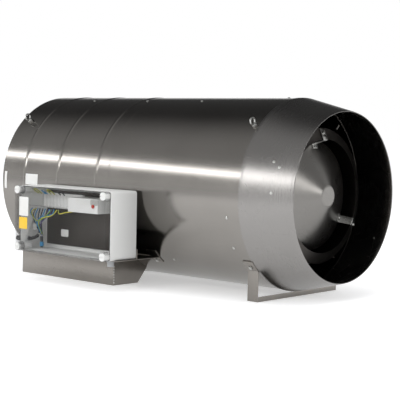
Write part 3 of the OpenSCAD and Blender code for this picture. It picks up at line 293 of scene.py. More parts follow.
# %% Metal finishes
casing_steel = finish("casing_steel", "#8d8a86", "#7c7975", (0.14, 0.19), 1, (700, 7, 1), 0.012,
                      scratches=0.1, clouds=5, uv="sheet", brushed=0.35)
collar_steel = finish("collar_steel", "#8f8d8b", "#858381", (0.24, 0.29), 1, (9, 1600, 1), 0.003,
                      scratches=0.2, clouds=6, uv="sheet", brushed=0.3)
inside_steel = finish("inside_steel", "#55524f", "#403d3b", (0.28, 0.4), 1, (7, 260, 1), 0.05,
                      clouds=7, uv="sheet")
dish_steel = finish("dish_steel", "#7f7d7a", "#74726f", (0.26, 0.33), 1, (9, 1600, 1), 0.003,
                    clouds=8, uv="sheet", brushed=0.3)
sheet_steel = finish("sheet_steel", "#8e8a85", "#837f7a", (0.26, 0.32), 1, (25, 1500, 1500), 0.015,
                     "#b9b5b0")
zinc = finish("zinc", "#bdbdba", "#adadaa", (0.24, 0.34), 1, (900, 900, 900), 0.03, "#dededb")
cast_grey = finish("cast_grey", "#a5a7a9", "#8b8d90", (0.42, 0.6), 1, (900, 900, 900), 0.35, "#c4c6c8")
weld_bright = finish("weld_bright", "#e6e6e4", "#cfcfcc", (0.4, 0.55), 0.4, (600, 600, 600), 0.15)
brass = finish("brass", "#b9985a", "#9d7e42", (0.25, 0.4), 1, (60, 600, 600), 0.08, "#d2b678")
copper = finish("copper", "#bd7c54", "#9c5f3b", (0.25, 0.4), 1, (300, 300, 300), 0.08, "#d59a74")
winding_copper = finish("winding_copper", "#9a5a34", "#6d3a1d", (0.35, 0.5), 0.8, (40, 1200, 1200), 0.5)
plate_dark = finish("plate_dark", "#4c4743", "#3f3b38", (0.32, 0.45), 0.6, (12, 260, 260), 0.05, "#7a746e")
print("metal finishes:", len(bpy.data.materials))

# %% [markdown]
# The box is light grey moulded plastic, its screws and its terminals are white, and the motor is
# enamelled. Plastics get a fine even grain and soft edges, and no metal shine.

# %% Other finishes
box_grey = moulded("box_grey", "#dddddb", "#d8d8d6", (0.42, 0.5), 1500, 0.06, "#e6e6e4")
white_plastic = moulded("white_plastic", "#e2e2e0", "#d8d8d6", (0.28, 0.4), 700, 0.06)
terminal_white = moulded("terminal_white", "#f6f6f4", "#eeeeec", (0.3, 0.42), 700, 0.04)
black_plastic = moulded("black_plastic", "#2c2c2e", "#1b1b1d", (0.45, 0.6), 800, 0.15, "#4a4a4c")
gasket_foam = moulded("gasket_foam", "#38393b", "#232426", (0.75, 0.9), 1500, 0.5)
cable_black = moulded("cable_black", "#252527", "#151517", (0.4, 0.55), 500, 0.15)
gland_grey = moulded("gland_grey", "#a9abad", "#96989a", (0.4, 0.52), 800, 0.12, "#bcbec0")
enamel = finish("enamel", "#56626e", "#434e59", (0.28, 0.42), 0.1, (350, 350, 350), 0.18,
                "#7b868f", coat=0.3)
powder_black = moulded("powder_black", "#3a3a3d", "#28282b", (0.45, 0.6), 1100, 0.3, "#77777a")
ceramic = moulded("ceramic", "#e9e3d2", "#dbd3bf", (0.15, 0.28), 500, 0.04, coat=0.4)
silicone_red = moulded("silicone_red", "#a52c20", "#8a2118", (0.45, 0.6), 600, 0.1)
button_red = moulded("button_red", "#c03a2c", "#a82d20", (0.25, 0.38), 600, 0.06, "#d4685c")
label_white = moulded("label_white", "#dededb", "#d5d5d2", (0.38, 0.5), 900, 0.05)
label_yellow = moulded("label_yellow", "#e9c136", "#d8ae24", (0.38, 0.5), 900, 0.05)
patch_grey = moulded("patch_grey", "#b4b4b0", "#a3a39f", (0.35, 0.5), 900, 0.08)
wire_blue = moulded("wire_blue", "#2f8fc4", "#207aa8", (0.32, 0.45), 500, 0.06)
wire_black = moulded("wire_black", "#2a2a30", "#1a1a1f", (0.32, 0.45), 500, 0.06)
wire_purple = moulded("wire_purple", "#5b4f86", "#463b6e", (0.32, 0.45), 500, 0.06)
print("finishes so far:", len(bpy.data.materials))

# %% [markdown]
# An earth wire is green with a yellow stripe that runs along it. The wire's own UV map goes once
# round it, so a comparison on that coordinate paints the stripe.

# %% Earth wire
wire_earth = moulded("wire_earth", "#c8c23a", "#b4ae2c", (0.32, 0.45), 500, 0.06)
earth_tree = wire_earth.node_tree
round_wire = add_node(earth_tree, "ShaderNodeUVMap", uv_map="sheet").outputs["UV"]
round_part = add_node(earth_tree, "ShaderNodeSeparateXYZ", Vector=round_wire)
stripe = calculate(earth_tree, "GREATER_THAN", round_part.outputs["X"], 0.5)
earth_colour = earth_tree.nodes["Principled BSDF"].inputs["Base Color"]
striped = mix_colours(earth_tree, stripe, earth_colour.links[0].from_socket, linear("#4d8a3a"))
join(earth_tree, striped, earth_colour)
print("earth wire striped")

# %% [markdown]
# The lid is smoky polycarbonate. Real refraction would hide the lamps from what lies inside, so the
# lid is a tinted sheet with alpha instead: it is clearest face on, and shines more at its edges.
# Light that goes through to the inside is dimmed less than what the camera sees, or the terminals
# would go dark.

# %% Smoky lid
lid_smoky = moulded("lid_smoky", "#222221", "#1b1b1a", (0.05, 0.09), 200, 0.01,
                   "#a8a8a6", scratches=0.5)
smoky_tree = lid_smoky.node_tree
facing = add_node(smoky_tree, "ShaderNodeLayerWeight", Blend=0.35).outputs["Facing"]
cover = mapped(smoky_tree, facing, To_Min=0.03, To_Max=0.5)
lid_path = add_node(smoky_tree, "ShaderNodeLightPath").outputs
to_inside = calculate(smoky_tree, "MAXIMUM", lid_path["Is Shadow Ray"], lid_path["Is Diffuse Ray"])
dimmed = mapped(smoky_tree, to_inside, To_Min=1.0, To_Max=0.2)
lid_alpha = calculate(smoky_tree, "MULTIPLY", cover, dimmed)
join(smoky_tree, lid_alpha, smoky_tree.nodes["Principled BSDF"].inputs["Alpha"])
print("smoky lid:", lid_smoky.name)

# %% [markdown]
# ## Helpers for meshes
# Turned parts are an outline swept round an axis. Folded parts are the CAD shape with its edges
# broken by a small bevel, as a real edge is. The bevel's faces carry the worn mark.


# %% Mesh helpers
def publish(name, shape, material, body="root", sharp=35):
    mesh = bpy.data.meshes.new(name)
    shape.to_mesh(mesh)
    shape.free()
    for face in mesh.polygons:
        face.use_smooth = True
    mesh.set_sharp_from_angle(angle=math.radians(sharp))
    mesh.materials.append(material)
    piece = bpy.data.objects.new(name, mesh)
    scene.collection.objects.link(piece)
    if body:
        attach(piece, body)
    return piece


def add_turned(shape, outline, place, steps):
    # outline holds (radius, distance along the axis); place turns the Z axis to where it goes
    sheet = shape.loops.layers.uv.get("sheet") or shape.loops.layers.uv.new("sheet")
    count = len(outline)
    rings = []
    for i in range(steps):
        turn = 2 * math.pi * i / steps
        rings.append([shape.verts.new(place @ Vector((r * math.cos(turn), r * math.sin(turn), h)))
                      for r, h in outline])
    along = [0]
    for k in range(count):
        a = Vector(outline[k])
        b = Vector(outline[(k + 1) % count])
        along.append(along[-1] + (b - a).length)
    size = max(r for r, h in outline)
    for i in range(steps):
        for k in range(count):
            j = (i + 1) % steps
            m = (k + 1) % count
            face = shape.faces.new((rings[i][k], rings[j][k], rings[j][m], rings[i][m]))
            corners = ((i, k), (i + 1, k), (i + 1, k + 1), (i, k + 1))
            for loop, (s, t) in zip(face.loops, corners):
                loop[sheet].uv = (2 * math.pi * s / steps * size, along[t])


def face_out(shape):
    bmesh.ops.recalc_face_normals(shape, faces=shape.faces)


def close_up(shape):
    bmesh.ops.remove_doubles(shape, verts=shape.verts, dist=1e-6)
    bmesh.ops.dissolve_degenerate(shape, edges=shape.edges, dist=1e-7)
    face_out(shape)


def break_edges(shape, width, angle=30):
    worn = shape.faces.layers.float.new("worn")
    edges = [e for e in shape.edges
             if len(e.link_faces) == 2 and e.calc_face_angle(0) > math.radians(angle)]
    made = bmesh.ops.bevel(shape, geom=edges, offset=width, offset_type="OFFSET", segments=2,
                           profile=0.5, affect="EDGES", clamp_overlap=True)
    for face in made["faces"]:
        face[worn] = 1.0


def dressed(node, material, width=0.4, angle=30):
    shape = bmesh.new()
    shape.from_mesh(frame["nodes"][node].data)
    bmesh.ops.remove_doubles(shape, verts=shape.verts, dist=2e-6)
    bmesh.ops.dissolve_limit(shape, angle_limit=math.radians(1), verts=shape.verts, edges=shape.edges)
    break_edges(shape, width / 1000, angle)
    piece = publish(node + "_dressed", shape, material, body_of_node[node])
    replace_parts(piece, node)
    return piece


ALONG_AXIS = Matrix.Translation((rear_x, axis_y, axis_z)) @ Matrix.Rotation(math.pi / 2, 4, "Y")


def turned_sheet(name, outline, material, nodes):
    # outline in mm: (distance from the rear edge, radius)
    shape = bmesh.new()
    add_turned(shape, [(r / 1000, x / 1000) for x, r in outline], ALONG_AXIS, 256)
    close_up(shape)
    piece = publish(name, shape, material, sharp=30)
    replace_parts(piece, *nodes)
    print(name, len(piece.data.polygons), "faces")
    return piece


print("mesh helpers ready")

# %% [markdown]
# ## Casing
# The casing is rolled sheet, 1.5 mm thick, in two lengths. The rear one carries three swaged beads,
# which stiffen it. A drawn outline with rounded beads, turned round the axis in many steps, keeps
# the long highlight smooth, where the CAD mesh would show flats. A short flat strip on each side of
# a bead keeps the bead's smooth shading from spreading along the sheet.

# %% Casing shells
CASING_R = 250
SHEET = 1.5
INNER_R = CASING_R - SHEET
BEAD_AT = (97, 240.3, 396.9)
BEAD_HALF = 5.5
BEAD_RISE = 1.3


def bead_rise(x):
    near = min(BEAD_AT, key=lambda b: abs(b - x))
    gap = abs(x - near)
    return BEAD_RISE * (0.5 + 0.5 * math.cos(math.pi * gap / BEAD_HALF)) if gap < BEAD_HALF else 0


bead_steps = [b + s * BEAD_HALF / 5 for b in BEAD_AT for s in range(-5, 6)]
bead_flats = [b + s for b in BEAD_AT for s in (-12, -6.2, 6.2, 12)]
rear_stations = [0, 0.5, 2] + sorted(bead_steps + bead_flats) + [442, 444.2, 444.9]
rear_drop = {0: 0.4, 444.9: 0.7}
rear_outer = [(x, CASING_R + bead_rise(x) - rear_drop.get(x, 0)) for x in rear_stations]
rear_inner = [(x, INNER_R + bead_rise(x)) for x in reversed(rear_stations)]
turned_sheet("rear_shell", rear_outer + rear_inner, casing_steel, ["rear_casing"])
front_outline = [(445.1, 249.3), (445.8, CASING_R), (448, CASING_R), (905, CASING_R),
                 (914.6, CASING_R), (914.9, 249.6), (914.9, INNER_R), (445.1, INNER_R)]
turned_sheet("front_shell", front_outline, casing_steel, ["front_casing"])

# %% [markdown]
# ## Outlet collar
# The collar tapers to its rim, where the sheet is hemmed: folded back on itself into a round bead
# that is safe to touch and catches the light as a thin bright ring.

# %% Outlet collar
COLLAR_X = 915
COLLAR_R = 251.2
COLLAR_LEN = 135
COLLAR_DROP = 32.5
COLLAR_TILT = COLLAR_DROP / COLLAR_LEN
HEM_X = 1047.8
HEM_R = 217.35
hem = []
for i in range(9):
    a = math.radians(-90 + 180 * i / 8)
    hem.append((HEM_X + 2.1 * math.cos(a), HEM_R + 1.2 * math.sin(a)))
collar_outline = [(907, 251.3), (914, 251.35), (COLLAR_X, COLLAR_R)]
collar_outline += [(COLLAR_X + 132 * s, COLLAR_R - 132 * s * COLLAR_TILT)
                   for s in (0.01, 0.03, 0.5, 0.94, 0.97)]
collar_outline += list(reversed(hem))
collar_outline += [(1040, 217.8), (COLLAR_X, 250.15), (907, 250.15)]
turned_sheet("collar", collar_outline, collar_steel, ["outlet_collar"])

# %% [markdown]
# ## Drum, front ring and dish
# Fire stays inside the drum, and air passes between drum and casing. The drum ends in a cone-shaped
# ring, and a dish in front of its mouth turns the hot gas outwards. Their shared axis makes
# turning the right way again. The rims are rolled, so they read as bright lines.

# %% Drum and dish
drum_outline = [(505, 60.2), (505, 172), (508, 174.6), (969, 175), (969.4, 173.5), (509, 173.3),
                (506.6, 171), (506.5, 60.2)]
turned_sheet("drum", drum_outline, inside_steel, ["combustion_drum"])
ring_outline = [(955.5, 173.3), (969.4, 173.4), (969.6, 175), (971, 174.2), (976.2, 160.6), (981.8, 148),
                (982.9, 146.1), (983, 145.8), (981.6, 146.2), (975, 159.8), (969.9, 171.9), (955.5, 171.9)]
turned_sheet("front_ring", ring_outline, inside_steel, ["drum_front_ring"])
dish_outline = [(944, 141), (945, 140.9), (995, 29.8), (996, 28), (996, 27), (995.4, 26.2), (996, 25.4),
                (996, 0), (994.5, 0), (994.5, 27.6), (943.4, 140.3)]
turned_sheet("dish", dish_outline, dish_steel, ["deflector_dish"])

# %% [markdown]
# ## Setting out repeated fittings
# Screws, rivets, nuts, eye bolts, terminals and fan blades all repeat. One Geometry Nodes tree sets
# a small piece on every point, turned by the point's own direction, and makes it real. The
# points carry the turn as an attribute, so the tree needs no numbers of its own.

# %% Setting-out tree
set_out, given, result = make_group(
    "set_out",
    [("Points", "NodeSocketGeometry", None), ("Piece", "NodeSocketObject", None),
     ("Size", "NodeSocketFloat", None), ("Finish", "NodeSocketMaterial", None)],
    [("Fittings", "NodeSocketGeometry")], "GeometryNodeTree",
)
piece_info = add_node(set_out, "GeometryNodeObjectInfo", transform_space="ORIGINAL",
                      Object=given.outputs["Piece"])
turn_of = add_node(set_out, "GeometryNodeInputNamedAttribute", data_type="FLOAT_VECTOR", Name="turn")
placed = add_node(set_out, "GeometryNodeInstanceOnPoints", Points=given.outputs["Points"],
                  Instance=piece_info.outputs["Geometry"], Rotation=turn_of.outputs["Attribute"],
                  Scale=given.outputs["Size"])
real = add_node(set_out, "GeometryNodeRealizeInstances", Geometry=placed.outputs["Instances"])
painted = add_node(set_out, "GeometryNodeSetMaterial", Geometry=real.outputs["Geometry"],
                   Material=given.outputs["Finish"])
join(set_out, painted.outputs["Geometry"], result.inputs["Fittings"])


def grow(name, host, tree, values, body):
    modifier = host.modifiers.new(tree.name, "NODES")
    modifier.node_group = tree
    for item in tree.interface.items_tree:
        if item.item_type == "SOCKET" and item.in_out == "INPUT" and item.name in values:
            modifier[item.identifier] = values[item.name]
    bpy.context.view_layer.update()
    done = host.evaluated_get(bpy.context.evaluated_depsgraph_get())
    mesh = bpy.data.meshes.new_from_object(done)
    mesh.name = name
    bpy.data.objects.remove(host)
    piece = bpy.data.objects.new(name, mesh)
    scene.collection.objects.link(piece)
    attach(piece, body)
    print(name, len(mesh.polygons), "faces")
    return piece


def facing_turn(direction, spin=0.0):
    base = direction.normalized().to_track_quat("Z", "Y").to_matrix()
    return (base @ Matrix.Rotation(spin, 3, "Z")).to_euler()


def turned_points(name, points, turns):
    mesh = bpy.data.meshes.new(name)
    mesh.from_pydata(points, [], [])
    marks = mesh.attributes.new("turn", "FLOAT_VECTOR", "POINT")
    for mark, turn in zip(marks.data, turns):
        mark.vector = turn
    host = bpy.data.objects.new(name, mesh)
    scene.collection.objects.link(host)
    return host


def set_pieces(name, pattern, places, material, nodes=()):
    # places holds (point, direction the piece's Z axis takes, spin)
    host = turned_points(name + "_points", [p for p, d, s in places],
                         [facing_turn(d, s) for p, d, s in places])
    piece = grow(name, host, set_out, {"Piece": pattern, "Size": 1.0, "Finish": material}, "root")
    bpy.data.objects.remove(pattern)
    if nodes:
        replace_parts(piece, *nodes)


print("setting-out tree:", len(set_out.nodes), "nodes")

# %% [markdown]
# ## Sheet screws, rivets and bolts
# A sheet screw here has a low domed head on a pressed flange. Bolts have a bevelled hexagon and a
# washer. Each is turned once, at the origin, with its shank down the minus Z axis, and a hexagon is
# a turning in six steps.


# %% Small fittings
def hexagon(shape, across, low, high, washer=0.0):
    outline = [(0, low), (across, low), (across, high - 0.5e-3), (across - 0.6e-3, high), (0, high)]
    add_turned(shape, outline, Matrix.Identity(4), 6)
    if washer:
        ring = [(0, low), (washer, low), (washer, low + 0.7e-3), (0, low + 0.7e-3)]
        add_turned(shape, ring, Matrix.Identity(4), 28)


def fitting(name, outline, steps=24, hexagon_size=None, washer=0.0):
    # outline in mm: (radius, height over the seat); hexagon_size: (radius, low, high)
    shape = bmesh.new()
    add_turned(shape, [(r / 1000, h / 1000) for r, h in outline], Matrix.Identity(4), steps)
    if hexagon_size:
        across, low, high = hexagon_size
        hexagon(shape, across / 1000, low / 1000, high / 1000, washer / 1000)
    close_up(shape)
    return publish(name, shape, zinc, body=None, sharp=40)


REAR_ANGLES = (17, 137, 257)
BAND_ANGLES = (17, 127, 257)
FRONT_ANGLES = (1, 121, 241)
INLET_R = 190
screw_rows = ((202, REAR_ANGLES), (419, BAND_ANGLES), (624, REAR_ANGLES), (866, FRONT_ANGLES + (102,)))
screw_places = []
for x, angles in screw_rows:
    for angle in angles:
        point, out = around(x, angle, CASING_R + 0.1)
        screw_places.append((point, out, angle * 0.37))
hole_r = INLET_R + (INNER_R - INLET_R) / 2
for i in range(6):
    turn = math.radians(60 * i)
    point = at(9, hole_r * math.sin(turn), AXIS_H - hole_r * math.cos(turn))
    screw_places.append((point, -RIGHT, i * 0.5))
screw_outline = [(0, -8), (1.9, -7.4), (1.9, 0), (4, 0), (4, 0.5), (3.3, 0.8), (3.1, 1.5),
                 (2.3, 2.0), (0, 2.2)]
set_pieces("screws", fitting("screw", screw_outline), screw_places, zinc, ["sheet_screws"])

# %% [markdown]
# The collar's rivets have a low round head outside and a set head inside. The foot and the
# bracket are held by hexagon bolts, and so are the dish's three brackets.

# %% Rivets and bolts
GAP = 0.15
SEAT = 0.05
FOOT_T = 2.5
SHELF_T = 2
FOOT_X = 877
FOOT_W = 33
SHELF_X = (208, 573)
BOLT_IN = 17
tilt = math.atan2(COLLAR_DROP, COLLAR_LEN)
rivet_places = []
for along, angle in ((72, 67), (89, 70), (78, 86), (97, -121)):
    point, out = around(COLLAR_X + along, angle, COLLAR_R - along * math.tan(tilt))
    direction = out * math.cos(tilt) + RIGHT * math.sin(tilt)
    rivet_places.append((point, direction, 0.0))
rivet_outline = [(0, -4), (2.6, -3.8), (3, -3), (2, -2.9), (2, 0), (4, 0), (3.6, 0.6),
                 (2.2, 1.05), (0, 1.1)]
set_pieces("rivets", fitting("rivet", rivet_outline), rivet_places, zinc, ["collar_rivets"])
bolt_places = []
for side in (-1, 1):
    point, out = around(FOOT_X + FOOT_W / 2, side * 135, CASING_R + GAP + FOOT_T + SEAT)
    bolt_places.append((point, out, 0.3 * side))
for x in (SHELF_X[0] + BOLT_IN, SHELF_X[1] - BOLT_IN):
    point, out = around(x, 139.4, CASING_R + GAP + SHELF_T + SEAT)
    bolt_places.append((point, out, 0.2))
bolt_outline = [(0, -8), (2.5, -7.6), (2.5, 0.2), (0, 0.2)]
set_pieces("bolts", fitting("bolt", bolt_outline, hexagon_size=(5.6, 0.02, 3.5), washer=6.2),
           bolt_places, zinc, ["mounting_bolts"])

# %% [markdown]
# ## Dish brackets
# Three folded strips join the front ring to the dish. The CAD shape is right, so it only gets
# broken edges. The bolts stand on the strips, at the angles of the two cones.

# %% Dish brackets and bolts
STRIP_W = 20
STRIP_T = 2
LIP_R = 146
RING_LEN = 13.5
RING_DROP = 29
DISH_LEN = 52
DISH_DROP = 112.5
RING_TILT = math.atan2(RING_DROP, RING_LEN)
DISH_TILT = math.atan2(DISH_DROP, DISH_LEN)
dressed("dish_brackets", zinc, 0.25)
ring_out = Vector((math.sin(RING_TILT), math.cos(RING_TILT)))
dish_out = Vector((math.sin(DISH_TILT), math.cos(DISH_TILT)))
# a flat strip on a round lip needs room for the lip's rise across its width; bolts stand on its top
strip_top = STRIP_W * STRIP_W / (8 * LIP_R) + GAP + STRIP_T
ring_spot = Vector((969.5 + RING_LEN * 0.45, 175 - RING_DROP * 0.45)) + ring_out * strip_top
dish_spot = Vector((944 + DISH_LEN * 0.07, 141 - DISH_DROP * 0.07)) + dish_out * strip_top
dish_spot += Vector((math.cos(DISH_TILT), -math.sin(DISH_TILT))) * 8.06
dish_bolt_places = []
for angle in FRONT_ANGLES:
    for spot, way in ((ring_spot, ring_out), (dish_spot, dish_out)):
        point, out = around(spot.x, angle, spot.y)
        direction = RIGHT * way.x + out * way.y
        dish_bolt_places.append((point, direction, 0.4))
set_pieces("dish_screws", fitting("dish_screw", bolt_outline, hexagon_size=(5, 0.02, 3.5), washer=5.6),
           dish_bolt_places, zinc, ["dish_bolts"])

# %% [markdown]
# ## Eye bolts
# Four eye bolts carry the heater on chains. Each is a ring on a short neck over a hexagon nut. The
# ring is a swept circle with enough steps to look round close up.


# %% Eye bolts
def add_ring(shape, middle, radius, wire, around_steps=40, wire_steps=14):
    rings = []
    for i in range(around_steps):
        a = 2 * math.pi * i / around_steps
        way = Vector((0, math.cos(a), math.sin(a)))
        rings.append([shape.verts.new(
            middle + way * (radius + wire * math.cos(2 * math.pi * k / wire_steps))
            + Vector((wire * math.sin(2 * math.pi * k / wire_steps), 0, 0)))
            for k in range(wire_steps)])
    for i in range(around_steps):
        for k in range(wire_steps):
            j = (i + 1) % around_steps
            m = (k + 1) % wire_steps
            shape.faces.new((rings[i][k], rings[j][k], rings[j][m], rings[i][m]))


eye_shape = bmesh.new()
hexagon(eye_shape, 0.0079, 0.0002, 0.0051, 0.0)
add_turned(eye_shape, [(0, -0.0098), (0.003, -0.0095), (0.003, 0.005), (0.0048, 0.0053), (0.0042, 0.0062),
                       (0.003, 0.0072), (0, 0.0074)], Matrix.Identity(4), 20)
EYE_R = 0.0085
EYE_WIRE = 0.00225
add_ring(eye_shape, Vector((0, 0, 0.01575)), EYE_R, EYE_WIRE)
bmesh.ops.remove_doubles(eye_shape, verts=eye_shape.verts, dist=1e-7)
face_out(eye_shape)
eye_pattern = publish("eye", eye_shape, zinc, body=None, sharp=40)
eye_places = []
for x in (37.5, 895):
    for angle in (-45, 45):
        point, out = around(x, angle, CASING_R)
        eye_places.append((point, out, 0.0))
set_pieces("eyes", eye_pattern, eye_places, zinc, ["eye_bolts"])

# %% [markdown]
# ## Folded sheet: foot, lower housing and box bracket
# These are flat sheets folded in a press. The CAD shapes are kept, and their sharp edges are broken
# by a few tenths of a millimetre, which is what lets them catch the light.

# %% Folded sheet
sheet_edges = {"front_foot": 0.3, "lower_housing": 0.3, "housing_base": 0.2, "box_bracket": 0.3}
for node, width in sheet_edges.items():
    folded = dressed(node, sheet_steel, width)
    print(folded.name, len(folded.data.polygons), "faces")

# %% [markdown]
# The lower housing's near corner is closed by a row of small spot welds. They are low beads on the
# end sheet, beside the fold.

# %% Spot welds on the housing corner
weld_outline = [(0, -0.4), (2.3, -0.4), (2.3, 0.1), (1.8, 0.5), (0.8, 0.75), (0, 0.8)]
HOUSING_Y = -239
WELD_PITCH = 7.2
weld_places = [(at(463, HOUSING_Y + 2.6, 8 + WELD_PITCH * i), RIGHT, 0.0) for i in range(7)]
set_pieces("welds", fitting("weld", weld_outline, 14), weld_places, weld_bright)

# %% [markdown]
# ## Control box
# The box is moulded, with rounded corners and a foam seal under the lid. The lid is one thick clear
# moulding with a raised window. White screws stand in pockets at its four corners.

# %% Control box
dressed("control_box", box_grey, 1.1)
dressed("box_gasket", gasket_foam, 0.15)
dressed("box_lid", lid_smoky, 0.7)
for i in (1, 2, 3, 4):
    dressed(f"lid_screw_{i}", white_plastic, 0.7)
dressed("mounting_plate", plate_dark, 0.3)
dressed("burner_controller", white_plastic, 0.6)
dressed("reset_button", button_red, 0.5)
dressed("cable_glands", gland_grey, 0.4)
print("control box dressed")

# %% [markdown]
# ## Terminals
# Each terminal is a narrow white block with a step: wires go into the upper part, and the screws
# sit on the lower one. One block is made from its side profile, its front faces are pressed in to
# make the mouths, and the setting-out tree repeats it at the rail's pitch.

# %% Terminals
BOX_Y = -260
RAIL_FRONT = 15.5
TERMINALS = 27
PITCH = 6
FIRST_X = 220
block = bmesh.new()
profile = [(0, 0), (0, 42), (-52, 42), (-52, 17), (-62, 17), (-62, 0)]
left = [block.verts.new((0.0002, y / 1000, z / 1000)) for y, z in profile]
right = [block.verts.new((0.0058, y / 1000, z / 1000)) for y, z in profile]
block.faces.new(left)
block.faces.new(right)
for i in range(len(profile)):
    j = (i + 1) % len(profile)
    block.faces.new((left[i], left[j], right[j], right[i]))
face_out(block)
mouths = [f for f in block.faces if f.normal.y < -0.9]
bmesh.ops.inset_individual(block, faces=mouths, thickness=0.0011)
for face in mouths:
    bmesh.ops.inset_individual(block, faces=[face], thickness=0.0003, depth=-0.0008)
break_edges(block, 0.0002)
terminal = publish("terminal", block, terminal_white, body=None)
terminal_places = [(at(FIRST_X + PITCH * i, BOX_Y - RAIL_FRONT, 200), UP, 0.0)
                   for i in range(TERMINALS)]
set_pieces("terminals", terminal, terminal_places, terminal_white, ["terminal_blocks"])
clamp_outline = [(0, -1), (1.35, -1), (1.35, 0.1), (1.0, 0.45), (0, 0.5)]
clamp_places = [(at(FIRST_X + PITCH / 2 + PITCH * i, BOX_Y - RAIL_FRONT - 60.2, 208.5), NEAR, 0.3 * i)
                for i in range(TERMINALS)]
set_pieces("clamp_screws", fitting("clamp_screw", clamp_outline, 12), clamp_places, zinc)

# %% [markdown]
# ## Wires
# Wires hang from the terminals in loose loops and gather at the lower left, where the glands are.
# Each is a smooth path through a few listed points, with a round tube swept along it.


# %% Wires
def smooth_path(points, steps=8):
    full = [points[0]] + list(points) + [points[-1]]
    path = []
    for i in range(1, len(full) - 2):
        a, b, c, d = full[i - 1:i + 3]
        for k in range(steps):
            t = k / steps
            path.append(0.5 * (2 * b + (c - a) * t + (2 * a - 5 * b + 4 * c - d) * t ** 2
                               + (3 * b - a - 3 * c + d) * t ** 3))
    return path + [points[-1]]


def add_tube(shape, path, radius, sides=10):
    sheet = shape.loops.layers.uv.get("sheet") or shape.loops.layers.uv.new("sheet")
    side = (path[1] - path[0]).cross(Vector((0.3, 1, 0.7))).normalized()
    rings = []
    for i, point in enumerate(path):
        way = (path[min(i + 1, len(path) - 1)] - path[max(i - 1, 0)]).normalized()
        side = (side - way * side.dot(way)).normalized()
        other = way.cross(side)
        rings.append([shape.verts.new(point + radius * (side * math.cos(2 * math.pi * k / sides)
                                                        + other * math.sin(2 * math.pi * k / sides)))
                      for k in range(sides)])
    for i in range(len(path) - 1):
        for k in range(sides):
            m = (k + 1) % sides
            face = shape.faces.new((rings[i][k], rings[i][m], rings[i + 1][m], rings[i + 1][k]))
            for loop, (s, t) in zip(face.loops, ((k, i), (k + 1, i), (k + 1, i + 1), (k, i + 1))):
                loop[sheet].uv = (s / sides, t * 0.01)
    shape.faces.new(list(reversed(rings[0])))
    shape.faces.new(rings[-1])


def in_box(x, depth, z):
    return at(x, BOX_Y - depth, z)


wire_runs = {
    "blue_wires": (wire_blue, 1.5, [
        [(229, 68, 201), (228, 74, 188), (240, 66, 165), (243, 52, 140), (238, 40, 118)],
        [(253, 68, 201), (252, 76, 186), (243, 70, 170), (240, 55, 145), (240, 42, 120)],
        [(283, 68, 201), (281, 77, 182), (262, 74, 172), (246, 62, 155), (242, 44, 122)],
        [(301, 68, 201), (299, 76, 184), (272, 75, 178), (250, 62, 158), (244, 46, 124)],
        [(319, 68, 201), (317, 74, 188), (286, 72, 180), (256, 60, 160), (246, 48, 126)],
        [(262, 50, 241), (262, 62, 250), (270, 68, 250), (272, 52, 241)],
    ]),
    "earth_wires": (wire_earth, 1.5, [
        [(247, 68, 201), (240, 80, 190), (262, 82, 168), (292, 80, 178), (309, 70, 200)],
        [(331, 68, 201), (322, 78, 186), (285, 80, 176), (262, 74, 160), (250, 50, 128)],
        [(337, 68, 201), (350, 76, 192), (374, 76, 197), (392, 66, 200)],
        [(235, 50, 241), (230, 64, 251), (244, 68, 254), (249, 52, 241)],
        [(286, 50, 241), (284, 64, 252), (300, 68, 253), (303, 52, 241)],
    ]),
    "black_wires": (wire_black, 1.6, [
        [(241, 66, 201), (238, 72, 182), (232, 62, 160), (234, 48, 135), (235, 36, 112)],
        [(259, 66, 201), (256, 70, 180), (248, 62, 162), (238, 48, 138), (237, 38, 114)],
        [(271, 66, 201), (268, 72, 178), (254, 66, 160), (244, 52, 140), (239, 40, 114)],
        [(289, 66, 201), (286, 70, 182), (266, 66, 166), (250, 52, 142), (241, 40, 116)],
        [(325, 50, 241), (325, 62, 250), (342, 64, 250), (343, 52, 241)],
    ]),
    "purple_wires": (wire_purple, 1.4, [
        [(307, 66, 201), (305, 72, 186), (280, 72, 170), (256, 62, 152), (243, 44, 118)],
        [(295, 66, 201), (292, 72, 180), (270, 70, 164), (252, 58, 146), (242, 42, 116)],
    ]),
}
for name, (material, radius, runs) in wire_runs.items():
    shape = bmesh.new()
    for run in runs:
        add_tube(shape, smooth_path([in_box(*p) for p in run]), radius / 1000)
    face_out(shape)
    wires = publish(name, shape, material)
    if name == "blue_wires":
        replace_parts(wires, "box_wires")
    print(name, len(runs))

# %% [markdown]
# At the lower left the wires leave through two sheathed cables. Cable ties, a blank grey tag and a
# blue ferrule are the small things that show through the lid there.

# %% Sheathed cables in the box
sheath = bmesh.new()
add_tube(sheath, smooth_path([in_box(212, 65, 114), in_box(222, 62, 115), in_box(233, 52, 122),
                              in_box(238, 46, 138), in_box(240, 52, 152)]), 0.0046, 14)
add_tube(sheath, smooth_path([in_box(244, 46, 90), in_box(243, 45, 102), in_box(241, 44, 116),
                              in_box(241, 46, 132)]), 0.0042, 14)
face_out(sheath)
publish("cable_sheaths", sheath, cable_black)
tie_outline = [(4.7, -2), (5.9, -2), (5.9, 2), (4.7, 2)]
tie_places = [(in_box(236, 48, 130), Vector((0.2, -0.2, 1)), 0.0), (in_box(241, 45, 124), UP, 0.0)]
set_pieces("cable_ties", fitting("tie", tie_outline, 20), tie_places, patch_grey)
ferrule_outline = [(4.3, -6), (5.4, -6), (5.6, 4), (4.3, 6)]
set_pieces("ferrule", fitting("ferrule_ring", ferrule_outline, 20),
           [(in_box(243, 45, 100), UP, 0.0)], wire_blue)

# %% [markdown]
# ## Motor cable
# One black cable leaves the box at its left, bends down and enters the lower housing. Both of its
# ends are held, so it is a piece of the heater, and its route repeats the CAD route.

